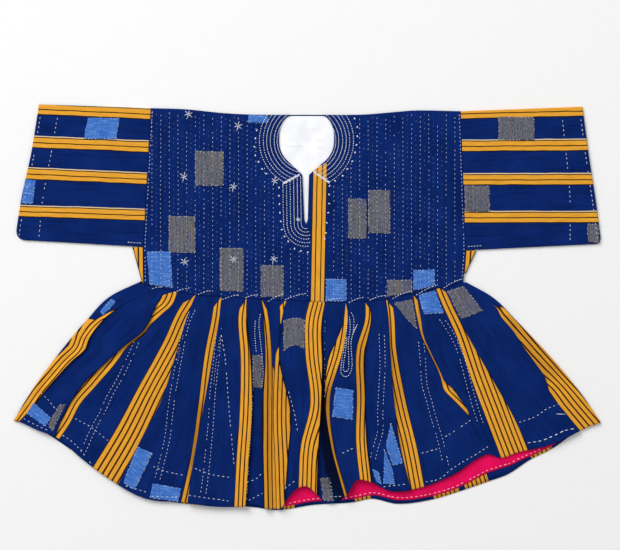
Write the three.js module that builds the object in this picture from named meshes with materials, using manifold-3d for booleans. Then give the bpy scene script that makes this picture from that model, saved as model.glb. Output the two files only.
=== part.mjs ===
// A fugu smock laid out flat: quilted body, wide sleeves, side gussets and a gathered, flared skirt.
// Millimetres. X runs across the garment, Y towards the neck, Z up from the surface it lies on.
import * as THREE from "three";
import { mergeVertices } from "three/addons/utils/BufferGeometryUtils.js";
import Module from "manifold-3d";

const wasm = await Module();
wasm.setup();

// Cloth and the small clearances between its layers
const clothWall = 2;
const liningWall = 1;
const facingWall = 1.2;
const patchWall = 0.9;
const seamGap = 0.3;
const waistGap = 0.5;
const patchLift = 0.4;

// Heights of the layers above the surface
const backTop = clothWall;
const liningFloor = backTop + seamGap;
const frontFloor = liningFloor + liningWall + seamGap;
const frontTop = frontFloor + clothWall;
const skirtBase = 5; // mid-height of the front skirt where it lies lowest
const edgeDip = 1.3; // how far the front's shoulder edge sinks to meet the back
const foldRadius = frontTop / 2;
const leastReach = 0.6; // flat run left beside a gusset's fold where it is narrowest

// Body, with its left and right sides at the shoulder, the armpit and the waist
const body = {
  left: { shoulder: -344.5, armpit: -361, waist: -360 },
  right: { shoulder: 336, armpit: 347, waist: 341.5 },
  shoulderY: { left: 437, neck: 428, right: 430.3 },
  armpitY: { left: 132, right: 124.5 },
  quiltPitch: 19,
  quiltRise: 0.7,
  quiltEnds: [-342, 323],
  seamFlat: 20, // the ribs fade out so far below the shoulder
  dipRun: 12, // and the shoulder edge sinks over this run
  neckFlat: { from: 80, over: 30 }, // no dip near the neck
};

// The waist seam, from left to right
const waistSeam = [
  { x: -367, y: 60 },
  { x: -364, y: 50.5 },
  { x: -330, y: 41 },
  { x: -237, y: 24 },
  { x: -60, y: 14 },
  { x: 70, y: 9 },
  { x: 170, y: 15 },
  { x: 270, y: 37 },
  { x: 349, y: 55 },
];

// Keyhole neck: a round hole that opens at the shoulder, narrowing into a slit
const neck = {
  x: -2.75,
  y: 365.2,
  radius: 60.5,
  mouth: 30,
  taperAngle: 0.747,
  slitTop: { y: 290.4, left: -12, right: 2.75 },
  slitFoot: { y: 191.4, left: -7.6, right: 0.1 },
  slitTip: { x: -3.85, y: 182.6 },
  cutAbove: 20, // how far the cutter reaches past the shoulder, below the panel and over it
  cutFloor: -4,
  cutDepth: 20,
};

// Sleeves: a flattened tube each, with a little loft between its rounded edges
const sleeves = {
  left: { topIn: [-344.5, 437], topOut: [-590.2, 445.5], lowIn: [-361, 132], lowOut: [-637, 148] },
  right: { topIn: [336, 430.3], topOut: [603.4, 440.4], lowIn: [347, 124.5], lowOut: [642.5, 139] },
};
const sleeveLoft = 1.8;
const cuffPinch = 0.8;

// Gussets under the arms, folded along their outer edge
const gussets = {
  left: { side: -1, topY: 131.1, footY: 51.6, topWidth: 24, footWidth: 3.6 },
  right: { side: 1, topY: 123.4, footY: 74, topWidth: 23, footWidth: 3.6 },
};

// Skirt. The levels run from the waist, 0, to the hem, 1. Every fold below is a striped band with one
// rolled edge: "side" says which edge, x and w are the band's middle and visible width at each level,
// "edge" is the height of its flat edge over the base, "near" and "far" the heights beside the roll,
// each at the waist, the middle and the hem. hem and panelHem are the hem's Y at the band and past it.
const skirtLevels = [0, 0.1, 0.27, 0.55, 0.78, 1];
const skirtRows = [0, 0.05, 0.1, 0.18, 0.27, 0.41, 0.55, 0.665, 0.78, 0.89, 1];
const skirtSide = {
  left: { x: [-366, -434, -486, -554, -605, -646], hem: -249, lift: [1, 2, 1] },
  right: { x: [348, 403, 457, 538, 597, 644], hem: -253, lift: [1, 2, 1] },
};
const folds = [
  { band: 1, side: 1, x: [-333, -423, -472, -534, -589, -636], w: [1, 5, 12.5, 26.5, 17.5, 4.5],
    edge: [1, 2, 1], near: [3, 8, 2], far: [2, 2, 2], hem: -251, panelHem: -270 },
  { band: 2, side: -1, x: [-301, -315, -362, -449, -506, -551], w: [20, 24, 2, 21, 31, 13],
    edge: [3, 3, 3], near: [1, 1, 1], far: [7, 9, 6], hem: -287, panelHem: -332 },
  { band: 3, side: 1, x: [-254, -274, -300, -347, -395, -444], w: [16, 25, 33, 55, 53, 57],
    edge: [3, 3, 3], near: [1, 2, 2], far: [9, 8, 5], hem: -372, panelHem: -420 },
  { band: 4, side: 1, x: [-197, -202, -216, -235.5, -253, -271], w: [16, 18, 20, 10, 10, 15],
    edge: [3, 3, 3], near: [1, 1, 1], far: [8, 9, 8], hem: -430, panelHem: -437 },
  { band: 5, side: 1, x: [-141, -143.5, -140, -138, -146, -149], w: [13, 19, 22, 25, 24, 26],
    edge: [4, 5, 6], near: [5, 8, 10], far: [2, 0, 0], hem: -438, panelHem: -435 },
  { band: 6, side: -1, x: [-97, -91, -86, -89, -88, -86], w: [9, 12, 13, 18, 15, 16],
    edge: [3, 2, 1], near: [6, 9, 10], far: [2, 0, 0], hem: -443, panelHem: -443 },
  { band: 7, side: 1, x: [-55, -60, -67, -57, -58, -60], w: [13, 3, 8, 38, 28, 16],
    edge: [3, 2, 1], near: [6, 9, 10], far: [3, 5, 6], hem: -442, panelHem: -403 },
  { band: 8, side: 1, x: [20.5, 12.5, 13, 17, 3.5, -0.5], w: [35, 37, 38, 24, 39, 41],
    edge: [3, 5, 7], near: [5, 10, 12], far: [3, 1, 0], hem: -393, panelHem: -431 },
  { band: 9, side: -1, x: [86, 83, 63, 45, 60, 86], w: [5, 10, 28, 12, 2, 3],
    edge: [5, 10, 12], near: [5, 12, 15], far: [3, 1, 0], hem: -414, panelHem: -381 },
  { band: 10, side: 1, x: [131, 132, 116.5, 116.5, 117, 126], w: [10, 14, 20, 19, 24, 26],
    edge: [5, 8, 13], near: [5, 8, 14], far: [3, 4, 6], hem: -379, panelHem: -404 },
  { band: 11, side: -1, x: [179, 183.5, 187.5, 202.5, 221, 241], w: [14, 15, 15, 27, 36, 31],
    edge: [3, 4, 4], near: [1, 2, 2], far: [6, 8, 6], hem: -398, panelHem: -369 },
  { band: 12, side: 1, x: [235, 241.5, 255, 304, 362, 395], w: [9, 11, 6, 18, 1, 1],
    edge: [2, 2, 4], near: [1, 1, 4], far: [7, 9, 5], hem: -323, panelHem: -332 },
  { band: 13, side: 1, x: [290, 306.5, 336, 382, 421.5, 455], w: [18, 21, 23, 43, 57, 62],
    edge: [2, 2, 1], near: [1, 2, 2], far: [8, 7, 4], hem: -321, panelHem: -301 },
  { band: 14, side: -1, x: [318, 390, 447.5, 515, 566, 614], w: [1, 6, 5, 31, 46, 45],
    edge: [1, 2, 1], near: [1, 2, 1], far: [3, 7, 5], hem: -262, panelHem: -258 },
];
const rollLength = 4; // run of the S-shaped roll across the fold
const rollOverlap = 1.8; // most that a rolled edge hangs over the band
const overlapShare = 1 / 6; // of the roll's height
const rollSteps = 5;
const leastBand = 5;
const leastWidth = 0.5;
const sideTurn = { run: [0, 2, 4.5], half: 0.3 }; // how the front's side edge comes down to the back

// The back's hem, from left to right, and the facing turned up inside it
const backHem = [
  { x: -640, y: -250 },
  { x: -594, y: -264 },
  { x: -498, y: -325 },
  { x: -358, y: -413 },
  { x: -270, y: -426 },
  { x: -115, y: -440 },
  { x: -64, y: -446.5 },
  { x: 14, y: -435 },
  { x: 104, y: -429 },
  { x: 143, y: -421.5 },
  { x: 198, y: -432.5 },
  { x: 273, y: -423.5 },
  { x: 333, y: -405.7 },
  { x: 399, y: -383 },
  { x: 442, y: -367 },
  { x: 489, y: -336 },
  { x: 540, y: -310 },
  { x: 594, y: -273 },
  { x: 644, y: -253 },
];
const facing = { margin: 8, depth: 58, sideInset: 0.03, taper: 0.05 };

// Patches, each a small piece of cloth sewn on, blue chambray or grey striped. Its corners run from
// the left top down and round to the right top.
const patches = [
  { name: "sleeve_left_top", on: "sleeve_left", tint: "blue",
    corners: [[-490, 417], [-484, 371], [-411, 369], [-413, 415]] },
  { name: "sleeve_left_cuff", on: "sleeve_left", tint: "blue",
    corners: [[-618, 284], [-626, 228], [-601, 227], [-597, 282]] },
  { name: "sleeve_right_top", on: "sleeve_right", tint: "grey",
    corners: [[419, 418], [419, 368], [498, 366], [497, 417]] },
  { name: "sleeve_right_seam", on: "sleeve_right", tint: "grey",
    corners: [[348, 268], [348, 209], [401, 208], [400, 267]] },
  { name: "sleeve_right_cuff", on: "sleeve_right", tint: "grey",
    corners: [[606, 183], [609, 145], [634, 144], [632, 181]] },
  { name: "shoulder", on: "body_front", tint: "blue",
    corners: [[-131, 422], [-131, 405], [-87, 404], [-87, 420]] },
  { name: "upper_left", on: "body_front", tint: "grey",
    corners: [[-247, 343], [-247, 267], [-185, 266], [-185, 341]] },
  { name: "middle_left", on: "body_front", tint: "grey",
    corners: [[-305, 200], [-305, 120], [-247, 119], [-247, 199]] },
  { name: "side_left", on: "body_front", tint: "blue",
    corners: [[-351, 117.5], [-351, 53], [-299, 42], [-299, 117]] },
  { name: "low_left", on: "body_front", tint: "grey",
    corners: [[-193, 130], [-193, 36], [-141, 34], [-141, 129]] },
  { name: "low_middle", on: "body_front", tint: "grey",
    corners: [[-103, 92], [-103, 23], [-53, 22], [-53, 91]] },
  { name: "upper_right", on: "body_front", tint: "grey",
    corners: [[89, 238], [89, 151], [129, 150], [129, 237]] },
  { name: "middle_right", on: "body_front", tint: "grey",
    corners: [[133, 257], [133, 163], [181, 161], [181, 256]] },
  { name: "low_centre", on: "body_front", tint: "blue",
    corners: [[40, 62], [40, 16], [85, 15], [85, 61]] },
  { name: "low_right", on: "body_front", tint: "grey",
    corners: [[174, 59], [174, 22], [229, 34], [229, 60]] },
  { name: "waist_right", on: "body_front", tint: "blue",
    corners: [[232, 81], [232, 36], [279, 47], [279, 82]] },
  { name: "skirt_left_edge", on: "skirt_front", tint: "blue",
    corners: [[-417, 15], [-448, -17], [-439, -25], [-408, 8]] },
  { name: "skirt_left_hem", on: "skirt_front", tint: "blue",
    corners: [[-592, -208], [-607, -238], [-577, -260], [-562, -240]] },
  { name: "skirt_left_fold", on: "skirt_front", tint: "grey",
    corners: [[-543, -206], [-557, -238], [-561, -268], [-537, -226]] },
  { name: "skirt_lower_left", on: "skirt_front", tint: "blue",
    corners: [[-361, -308], [-396, -388], [-369, -401], [-332, -323]] },
  { name: "skirt_hem_left", on: "skirt_front", tint: "blue",
    corners: [[-337, -386], [-343, -415], [-285, -425], [-280, -399]] },
  { name: "skirt_pocket_left", on: "skirt_front", tint: "grey",
    corners: [[-118, -106], [-118, -174], [-103, -174], [-102, -106]] },
  { name: "skirt_centre", on: "skirt_front", tint: "grey",
    corners: [[-53, -30], [-53, -97], [-8, -93], [-6, -28]] },
  { name: "skirt_valley", on: "skirt_front", tint: "grey",
    corners: [[32, -384], [32, -412], [54, -420], [55, -386]] },
  { name: "skirt_middle", on: "skirt_front", tint: "blue",
    corners: [[61, -176], [54, -240], [99, -247], [100, -182]] },
  { name: "skirt_low_strip", on: "skirt_front", tint: "blue",
    corners: [[142, -354], [150, -383], [162, -390], [156, -361]] },
  { name: "skirt_low_kite", on: "skirt_front", tint: "blue",
    corners: [[182, -253], [171, -306], [187, -347], [209, -342]] },
  { name: "skirt_low_tail", on: "skirt_front", tint: "blue",
    corners: [[168, -311], [166, -387], [191, -389], [185, -353]] },
  { name: "skirt_waist_grey", on: "skirt_front", tint: "grey",
    corners: [[197, 12], [224, -38], [236, -44], [226, 16]] },
  { name: "skirt_waist_blue", on: "skirt_front", tint: "blue",
    corners: [[250, 25], [261, -14], [299, -12], [280, 32]] },
  { name: "skirt_waist_right", on: "skirt_front", tint: "grey",
    corners: [[315, 34], [344, -24], [383, -9], [348, 42]] },
];
const patchGrid = 11; // longest side of a patch cell

const mm = (value) => Math.round(value * 1e4) / 1e4;

// Cubic through evenly or unevenly spaced knots, with finite-difference tangents.
function through(knots, values, at) {
  const last = knots.length - 1;
  const clamped = Math.min(Math.max(at, knots[0]), knots[last]);
  let i = 0;
  while (i < last - 1 && clamped > knots[i + 1]) i += 1;
  const slope = (k) => (values[k + 1] - values[k]) / (knots[k + 1] - knots[k]);
  const tangent = (k) => {
    if (k === 0) return slope(0);
    if (k === last) return slope(last - 1);
    return (slope(k - 1) + slope(k)) / 2;
  };
  const span = knots[i + 1] - knots[i];
  const t = (clamped - knots[i]) / span;
  const rise = t * t * (3 - 2 * t);
  const startPull = t * (1 - t) * (1 - t) * span * tangent(i);
  const endPull = t * t * (t - 1) * span * tangent(i + 1);
  return values[i] * (1 - rise) + values[i + 1] * rise + startPull + endPull;
}

// Straight runs between table rows that carry x and y.
function alongTable(rows, x) {
  const last = rows.length - 1;
  let i = 0;
  while (i < last - 1 && x > rows[i + 1].x) i += 1;
  const t = (x - rows[i].x) / (rows[i + 1].x - rows[i].x);
  return rows[i].y + (rows[i + 1].y - rows[i].y) * Math.min(Math.max(t, 0), 1);
}

const lerp = (a, b, t) => a + (b - a) * t;
const smooth = (t) => t * t * (3 - 2 * t);
const waistY = (x) => alongTable(waistSeam, x);

// The waist's corners between two places, with both ends.
function waistBetween(left, right) {
  const inside = waistSeam.map((row) => row.x).filter((x) => x > left && x < right);
  return [left, ...inside, right];
}

function shoulderY(x) {
  const { left, neck: middle, right } = body.shoulderY;
  if (x < 0) return lerp(middle, left, smooth(Math.min(x / body.left.shoulder, 1)));
  return lerp(middle, right, smooth(Math.min(x / body.right.shoulder, 1)));
}

// X of a side of the body at height y: the armhole seam above the armpit, the side seam below it.
function sideX(side, y) {
  const sizes = body[side];
  const armpit = body.armpitY[side];
  const top = body.shoulderY[side];
  if (y > armpit) return lerp(sizes.armpit, sizes.shoulder, (y - armpit) / (top - armpit));
  const foot = waistY(sizes.waist);
  return lerp(sizes.waist, sizes.armpit, Math.max(y - foot, 0) / (armpit - foot));
}

// A closed wall between two grids of points, outer[row][column] and inner[row][column].
// A wrapped grid joins its last column to its first, as a tube does.
function wallBetween(outer, inner, wrapped = false) {
  const rows = outer.length;
  const columns = outer[0].length;
  const positions = [];
  for (const grid of [outer, inner]) {
    for (const row of grid) for (const p of row) positions.push(mm(p.x), mm(p.y), mm(p.z));
  }
  const at = (layer, r, c) => layer * rows * columns + r * columns + (c % columns);
  const faces = [];
  const quad = (a, b, c, d) => faces.push(a, b, c, a, c, d);
  const spans = wrapped ? columns : columns - 1;
  for (let r = 0; r < rows - 1; r += 1) {
    for (let c = 0; c < spans; c += 1) {
      quad(at(0, r, c), at(0, r + 1, c), at(0, r + 1, c + 1), at(0, r, c + 1));
      quad(at(1, r, c), at(1, r, c + 1), at(1, r + 1, c + 1), at(1, r + 1, c));
    }
  }
  for (let c = 0; c < spans; c += 1) {
    quad(at(0, 0, c), at(0, 0, c + 1), at(1, 0, c + 1), at(1, 0, c));
    quad(at(0, rows - 1, c + 1), at(0, rows - 1, c), at(1, rows - 1, c), at(1, rows - 1, c + 1));
  }
  if (!wrapped) {
    const end = columns - 1;
    for (let r = 0; r < rows - 1; r += 1) {
      quad(at(0, r + 1, 0), at(0, r, 0), at(1, r, 0), at(1, r + 1, 0));
      quad(at(0, r, end), at(0, r + 1, end), at(1, r + 1, end), at(1, r, end));
    }
  }
  return facingOut(positions, faces);
}

// The geometry of a closed mesh, with its faces turned so that it holds a positive volume.
function facingOut(positions, faces) {
  let volume = 0;
  const p = (i) => new THREE.Vector3().fromArray(positions, i * 3);
  for (let i = 0; i < faces.length; i += 3) {
    volume += p(faces[i]).dot(p(faces[i + 1]).cross(p(faces[i + 2])));
  }
  const index = [];
  for (let i = 0; i < faces.length; i += 3) {
    const [a, b, c] = faces.slice(i, i + 3);
    if (volume > 0) index.push(a, b, c);
    else index.push(a, c, b);
  }
  const geometry = new THREE.BufferGeometry();
  geometry.setAttribute("position", new THREE.Float32BufferAttribute(positions, 3));
  geometry.setIndex(index);
  return geometry;
}

function solidFrom(geometry) {
  const bare = geometry.clone();
  bare.deleteAttribute("normal");
  bare.deleteAttribute("uv");
  const merged = mergeVertices(bare, 1e-4);
  return new wasm.Manifold(
    new wasm.Mesh({
      numProp: 3,
      vertProperties: merged.attributes.position.array,
      triVerts: new Uint32Array(merged.index.array),
    }),
  );
}

function geometryFrom(solid) {
  const mesh = solid.getMesh();
  const geometry = new THREE.BufferGeometry();
  geometry.setAttribute("position", new THREE.BufferAttribute(mesh.vertProperties.slice(), 3));
  geometry.setIndex(new THREE.BufferAttribute(mesh.triVerts.slice(), 1));
  return geometry;
}

// A flat sheet of the given outline, from floor up by its wall.
function flatSheet(points, floor, wall) {
  const shape = new THREE.Shape(points.map(([x, y]) => new THREE.Vector2(x, y)));
  const geometry = new THREE.ExtrudeGeometry(shape, { depth: wall, bevelEnabled: false });
  return geometry.translate(0, 0, floor);
}

const cloth = {
  indigo: { color: 0x0c2263, roughness: 0.92 },
  skirt: { color: 0x0a2069, roughness: 0.9 },
  stripe: { color: 0xf2ae30, roughness: 0.88 },
  white: { color: 0xf6f6f8, roughness: 0.95 },
  pink: { color: 0xe61058, roughness: 0.9 },
  blue: { color: 0x4478c4, roughness: 0.93 },
  grey: { color: 0x676772, roughness: 0.93 },
};
const garment = new THREE.Group();

function addPiece(name, geometry, finish) {
  const material = new THREE.MeshStandardMaterial({ ...cloth[finish], metalness: 0 });
  const mesh = new THREE.Mesh(geometry, material);
  mesh.name = name;
  garment.add(mesh);
  return mesh;
}

// Back panel of the body, flat on the surface.
// Its shoulder may keep a tab that reaches closer to the fold, so far either side of the neck.
function bodyOutline(inset, tab = { reach: 0, inset: 0 }) {
  const xs = [];
  const topSteps = 12;
  for (let i = 0; i <= topSteps; i += 1) {
    xs.push(lerp(body.left.shoulder + inset, body.right.shoulder - inset, i / topSteps));
  }
  const { reach } = tab;
  if (reach > 0) xs.push(-reach - 1, -reach, reach, reach + 1);
  xs.sort((a, b) => a - b);
  const points = xs.map((x) => [x, shoulderY(x) - (Math.abs(x) <= reach ? tab.inset : inset)]);
  points.push([body.right.armpit - inset, body.armpitY.right]);
  const left = body.left.waist + inset;
  const right = body.right.waist - inset;
  const lift = Math.max(inset, waistGap / 2);
  points.push(...waistBetween(left, right).reverse().map((x) => [x, waistY(x) + lift]));
  points.push([body.left.armpit + inset, body.armpitY.left]);
  return points;
}
addPiece("body_back", flatSheet(bodyOutline(0), 0, clothWall), "indigo");

// White cotton lining of the back, seen through the neck.
const liningInset = 15;
const liningTab = { reach: neck.radius + 10, inset: 3 };
addPiece("back_lining", flatSheet(bodyOutline(liningInset, liningTab), liningFloor, liningWall), "white");

// Height of the quilted front's outer face: each channel between two stitch rows is a low rib.
function quiltTop(x, y) {
  const fromShoulder = shoulderY(x) - y;
  const fromNeck = (Math.abs(x) - body.neckFlat.from) / body.neckFlat.over;
  const clearOfNeck = smooth(Math.min(Math.max(fromNeck, 0), 1));
  const dip = edgeDip * clearOfNeck * (1 - smooth(Math.min(fromShoulder / body.dipRun, 1)));
  const across = ((x / body.quiltPitch) % 1 + 1) % 1;
  const quilted = x > body.quiltEnds[0] && x < body.quiltEnds[1];
  const rib = quilted ? body.quiltRise * (1 - Math.abs(2 * across - 1)) : 0;
  const seamFade = Math.min(fromShoulder / body.seamFlat, 1);
  return { floor: frontFloor - dip, top: frontTop - dip + rib * seamFade };
}

// A column at each stitch row and each crest between two rows.
function quiltColumns() {
  const half = body.quiltPitch / 2;
  const [first, last] = body.quiltEnds;
  const columns = [];
  for (let x = first; x <= last; x += half) columns.push(x);
  return columns;
}

function bodyFront() {
  const dips = [0, 5, body.dipRun, body.seamFlat];
  const between = 2;
  const outer = [];
  const inner = [];
  const xs = ["left", ...quiltColumns(), "right"];
  const rowsAt = (x, side) => {
    const top = shoulderY(x);
    const across = (x - body.left.armpit) / (body.right.armpit - body.left.armpit);
    const armpit = lerp(body.armpitY.left, body.armpitY.right, across);
    const level = side ? body.armpitY[side] : armpit;
    const foot = waistY(x) + waistGap / 2;
    const ys = dips.map((drop) => top - drop);
    for (let i = 1; i <= between; i += 1) ys.push(lerp(top - dips[3], level, i / between));
    for (let i = 1; i <= between; i += 1) ys.push(lerp(level, foot, i / between));
    return ys;
  };
  const columns = xs.map((entry) => {
    if (typeof entry === "number") return rowsAt(entry).map((y) => ({ x: entry, y }));
    const ys = rowsAt(body[entry].shoulder, entry);
    ys[ys.length - 1] = waistY(body[entry].waist) + waistGap / 2;
    return ys.map((y) => ({ x: sideX(entry, y), y }));
  });
  for (let r = 0; r < columns[0].length; r += 1) {
    const place = (key) => columns.map((column) => {
      const { x, y } = column[r];
      return new THREE.Vector3(x, y, quiltTop(x, y)[key]);
    });
    outer.push(place("top"));
    inner.push(place("floor"));
  }
  return wallBetween(outer, inner);
}

// The keyhole, as an outline that runs from the shoulder round the hole and down the slit.
function keyhole() {
  const { x, y, radius, mouth, taperAngle, slitTop, slitFoot, slitTip } = neck;
  const roundSteps = 14;
  const mouthAngle = Math.acos(mouth / radius);
  const above = body.shoulderY.left + neck.cutAbove;
  const shape = new THREE.Shape();
  shape.moveTo(x + mouth, above);
  shape.lineTo(x - mouth, above);
  shape.absarc(x, y, radius, Math.PI - mouthAngle, Math.PI + taperAngle, false);
  shape.lineTo(slitTop.left, slitTop.y);
  shape.lineTo(slitFoot.left, slitFoot.y);
  shape.lineTo(slitTip.x, slitTip.y);
  shape.lineTo(slitFoot.right, slitFoot.y);
  shape.lineTo(slitTop.right, slitTop.y);
  shape.absarc(x, y, radius, -taperAngle, mouthAngle, false);
  const settings = { depth: neck.cutDepth, bevelEnabled: false, curveSegments: roundSteps };
  return new THREE.ExtrudeGeometry(shape, settings).translate(0, 0, neck.cutFloor);
}
const frontSolid = solidFrom(bodyFront()).subtract(solidFrom(keyhole()));
addPiece("body_front", geometryFrom(frontSolid), "indigo");

// Point of a sleeve's plan: along runs from armhole to cuff, down from the top fold to the underarm.
function sleevePlan(sleeve, along, down) {
  const top = [0, 1].map((i) => lerp(sleeve.topIn[i], sleeve.topOut[i], along));
  const low = [0, 1].map((i) => lerp(sleeve.lowIn[i], sleeve.lowOut[i], along));
  return [lerp(top[0], low[0], down), lerp(top[1], low[1], down)];
}

// How far the upper wall of a sleeve rises: none at its seams and edges, most in its middle.
function sleeveRise(along, down) {
  const across = Math.sin(Math.PI * Math.min(Math.max(down, 0), 1));
  return sleeveLoft * across * (cuffPinch * Math.sin(Math.PI * along) + (1 - cuffPinch) * along);
}

function sleeveTube(side) {
  const sleeve = sleeves[side];
  const lengthSteps = 8;
  const topSteps = 10;
  const turnSteps = 6;
  const outer = [];
  const inner = [];
  for (let i = 0; i <= lengthSteps; i += 1) {
    const along = i / lengthSteps;
    const [topX, topY] = sleevePlan(sleeve, along, 0);
    const [lowX, lowY] = sleevePlan(sleeve, along, 1);
    const drop = Math.hypot(topX - lowX, topY - lowY);
    const unitX = (lowX - topX) / drop;
    const unitY = (lowY - topY) / drop;
    const seamShift = i === 0 ? seamGap * Math.sign(sleeve.topOut[0]) : 0;
    const ring = (shrink) => {
      const radius = foldRadius - shrink;
      const points = [];
      const put = (run, z) => {
        points.push(new THREE.Vector3(topX + unitX * run + seamShift, topY + unitY * run, z));
      };
      for (let k = 0; k <= topSteps; k += 1) {
        const down = k / topSteps;
        const run = lerp(foldRadius, drop - foldRadius, down);
        put(run, foldRadius + radius + sleeveRise(along, down));
      }
      for (let k = 1; k < turnSteps; k += 1) {
        const angle = (Math.PI * k) / turnSteps;
        put(drop - foldRadius + radius * Math.sin(angle), foldRadius + radius * Math.cos(angle));
      }
      for (let k = 0; k <= 2; k += 1) {
        put(lerp(drop - foldRadius, foldRadius, k / 2), foldRadius - radius);
      }
      for (let k = 1; k < turnSteps; k += 1) {
        const angle = (Math.PI * k) / turnSteps;
        put(foldRadius - radius * Math.sin(angle), foldRadius - radius * Math.cos(angle));
      }
      return points;
    };
    outer.push(ring(0));
    inner.push(ring(clothWall));
  }
  return wallBetween(outer, inner, true);
}
addPiece("sleeve_left", sleeveTube("left"), "indigo");
addPiece("sleeve_right", sleeveTube("right"), "indigo");

// A gusset: a wedge of striped cloth folded round its outer edge, open towards the body.
function gusset(name) {
  const { side, topY, footY, topWidth, footWidth } = gussets[name];
  const rows = 4;
  const turnSteps = 6;
  const outer = [];
  const inner = [];
  for (let i = 0; i <= rows; i += 1) {
    const t = i / rows;
    const y = lerp(topY, footY, t);
    const width = lerp(topWidth, footWidth, t);
    const start = sideX(name, y) + side * seamGap;
    const section = (shrink) => {
      const radius = foldRadius - shrink;
      const points = [new THREE.Vector3(start, y, foldRadius + radius)];
      for (let k = 0; k <= turnSteps; k += 1) {
        const angle = (Math.PI * k) / turnSteps;
        const reach = Math.max(width - foldRadius, leastReach) + radius * Math.sin(angle);
        points.push(new THREE.Vector3(start + side * reach, y, foldRadius + radius * Math.cos(angle)));
      }
      points.push(new THREE.Vector3(start, y, foldRadius - radius));
      return points;
    };
    outer.push(section(0));
    inner.push(section(clothWall));
  }
  return wallBetween(outer, inner);
}
addPiece("gusset_left", gusset("left"), "stripe");
addPiece("gusset_right", gusset("right"), "stripe");

// Back of the skirt and the facing inside its hem.
function skirtSideX(side, level) {
  return through(skirtLevels, skirtSide[side].x, level);
}
function skirtSideY(side, level) {
  const top = waistY(skirtSide[side].x[0]) - waistGap / 2;
  return lerp(top, skirtSide[side].hem, level);
}
const hemKnots = backHem.map((p) => p.x);
const hemHeights = backHem.map((p) => p.y);
const backHemY = (x) => through(hemKnots, hemHeights, x);

function skirtBackOutline() {
  const points = [];
  for (const x of waistBetween(skirtSide.left.x[0], skirtSide.right.x[0])) {
    points.push([x, waistY(x) - waistGap / 2]);
  }
  for (const level of skirtRows.slice(1, -1)) {
    points.push([skirtSideX("right", level), skirtSideY("right", level)]);
  }
  const hemSteps = 48;
  for (let i = 0; i <= hemSteps; i += 1) {
    const x = lerp(backHem[backHem.length - 1].x, backHem[0].x, i / hemSteps);
    points.push([x, backHemY(x)]);
  }
  for (const level of skirtRows.slice(1, -1).reverse()) {
    points.push([skirtSideX("left", level), skirtSideY("left", level)]);
  }
  return points;
}
addPiece("skirt_back", flatSheet(skirtBackOutline(), 0, clothWall), "skirt");

function facingOutline() {
  const first = backHem[0].x;
  const last = backHem[backHem.length - 1].x;
  const low = [];
  const high = [];
  const steps = 40;
  for (let i = 0; i <= steps; i += 1) {
    const t = lerp(facing.sideInset, 1 - facing.sideInset, i / steps);
    const x = lerp(first, last, t);
    low.push([x, backHemY(x) + facing.margin]);
    const inward = (facing.taper * Math.abs(x)) / last;
    high.push([x * (1 - inward), backHemY(x) + facing.margin + facing.depth]);
  }
  return [...low, ...high.reverse()];
}
addPiece("hem_facing", flatSheet(facingOutline(), backTop + seamGap, facingWall), "pink");

// Stations across the front skirt at one level, each with x and its height over the base.
const threeLevels = [0, 0.5, 1];
function stationsAt(level) {
  const at = (values) => through(skirtLevels, values, level);
  const height = (values) => through(threeLevels, values, level);
  const leftX = skirtSideX("left", level);
  const rightX = skirtSideX("right", level);
  const dropToBack = skirtBase - (backTop + seamGap + clothWall / 2);
  const edgeOf = (x, inward, lift) => [
    { x: x + sideTurn.run[0] * inward, h: -dropToBack },
    { x: x + sideTurn.run[1] * inward, h: -dropToBack * sideTurn.half },
    { x: x + sideTurn.run[2] * inward, h: lift },
  ];
  const groups = [edgeOf(leftX, 1, height(skirtSide.left.lift))];
  for (const fold of folds) {
    const width = Math.max(at(fold.w), leastWidth);
    const middle = at(fold.x);
    const roll = middle + (fold.side * width) / 2;
    const near = Math.max(height(fold.near), 0);
    const far = Math.max(height(fold.far), 0);
    const flat = Math.max(height(fold.edge), 0);
    const before = fold.side > 0 ? near : far;
    const after = fold.side > 0 ? far : near;
    const overlap = Math.min(rollOverlap, Math.abs(near - far) * overlapShare);
    const turn = [];
    for (let k = 0; k <= rollSteps; k += 1) {
      const s = k / rollSteps;
      const x = roll + overlap * Math.sin(2 * Math.PI * s) + rollLength * (s - 0.5);
      turn.push({ x, h: lerp(before, after, smooth(s)) });
    }
    const reach = Math.max(width, leastBand);
    const edgeStation = { x: roll - fold.side * reach, h: flat };
    const turnEnd = roll - (fold.side * rollLength) / 2;
    const middleStation = { x: (edgeStation.x + turnEnd) / 2, h: (flat + near) / 2 };
    const flats = [edgeStation, middleStation];
    groups.push(fold.side > 0 ? [...flats, ...turn] : [...turn, ...flats.reverse()]);
  }
  groups.push(edgeOf(rightX, -1, height(skirtSide.right.lift)).reverse());
  const stations = [];
  groups.forEach((group, i) => {
    if (i > 0) {
      const from = groups[i - 1][groups[i - 1].length - 1];
      const to = group[0];
      for (const t of [1 / 3, 2 / 3]) {
        stations.push({ x: lerp(from.x, to.x, t), h: lerp(from.h, to.h, smooth(t)) });
      }
    }
    stations.push(...group);
  });
  return stations;
}

// The front's hem: through each band and the panel past it.
function frontHemY() {
  const knots = [skirtSide.left.x[5]];
  const heights = [skirtSide.left.hem];
  folds.forEach((fold, i) => {
    const next = i + 1 < folds.length ? folds[i + 1].x[5] : skirtSide.right.x[5];
    knots.push(fold.x[5], (fold.x[5] + next) / 2);
    heights.push(fold.hem, fold.panelHem);
  });
  knots.push(skirtSide.right.x[5]);
  heights.push(skirtSide.right.hem);
  return (x) => through(knots, heights, x);
}
const hemY = frontHemY();

function skirtMiddle() {
  const top = stationsAt(0);
  const foot = stationsAt(1);
  return skirtRows.map((level) =>
    stationsAt(level).map((station, c) => {
      const start = waistY(top[c].x) - waistGap / 2;
      const y = lerp(start, hemY(foot[c].x), level);
      return new THREE.Vector3(station.x, y, skirtBase + station.h);
    }),
  );
}

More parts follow.
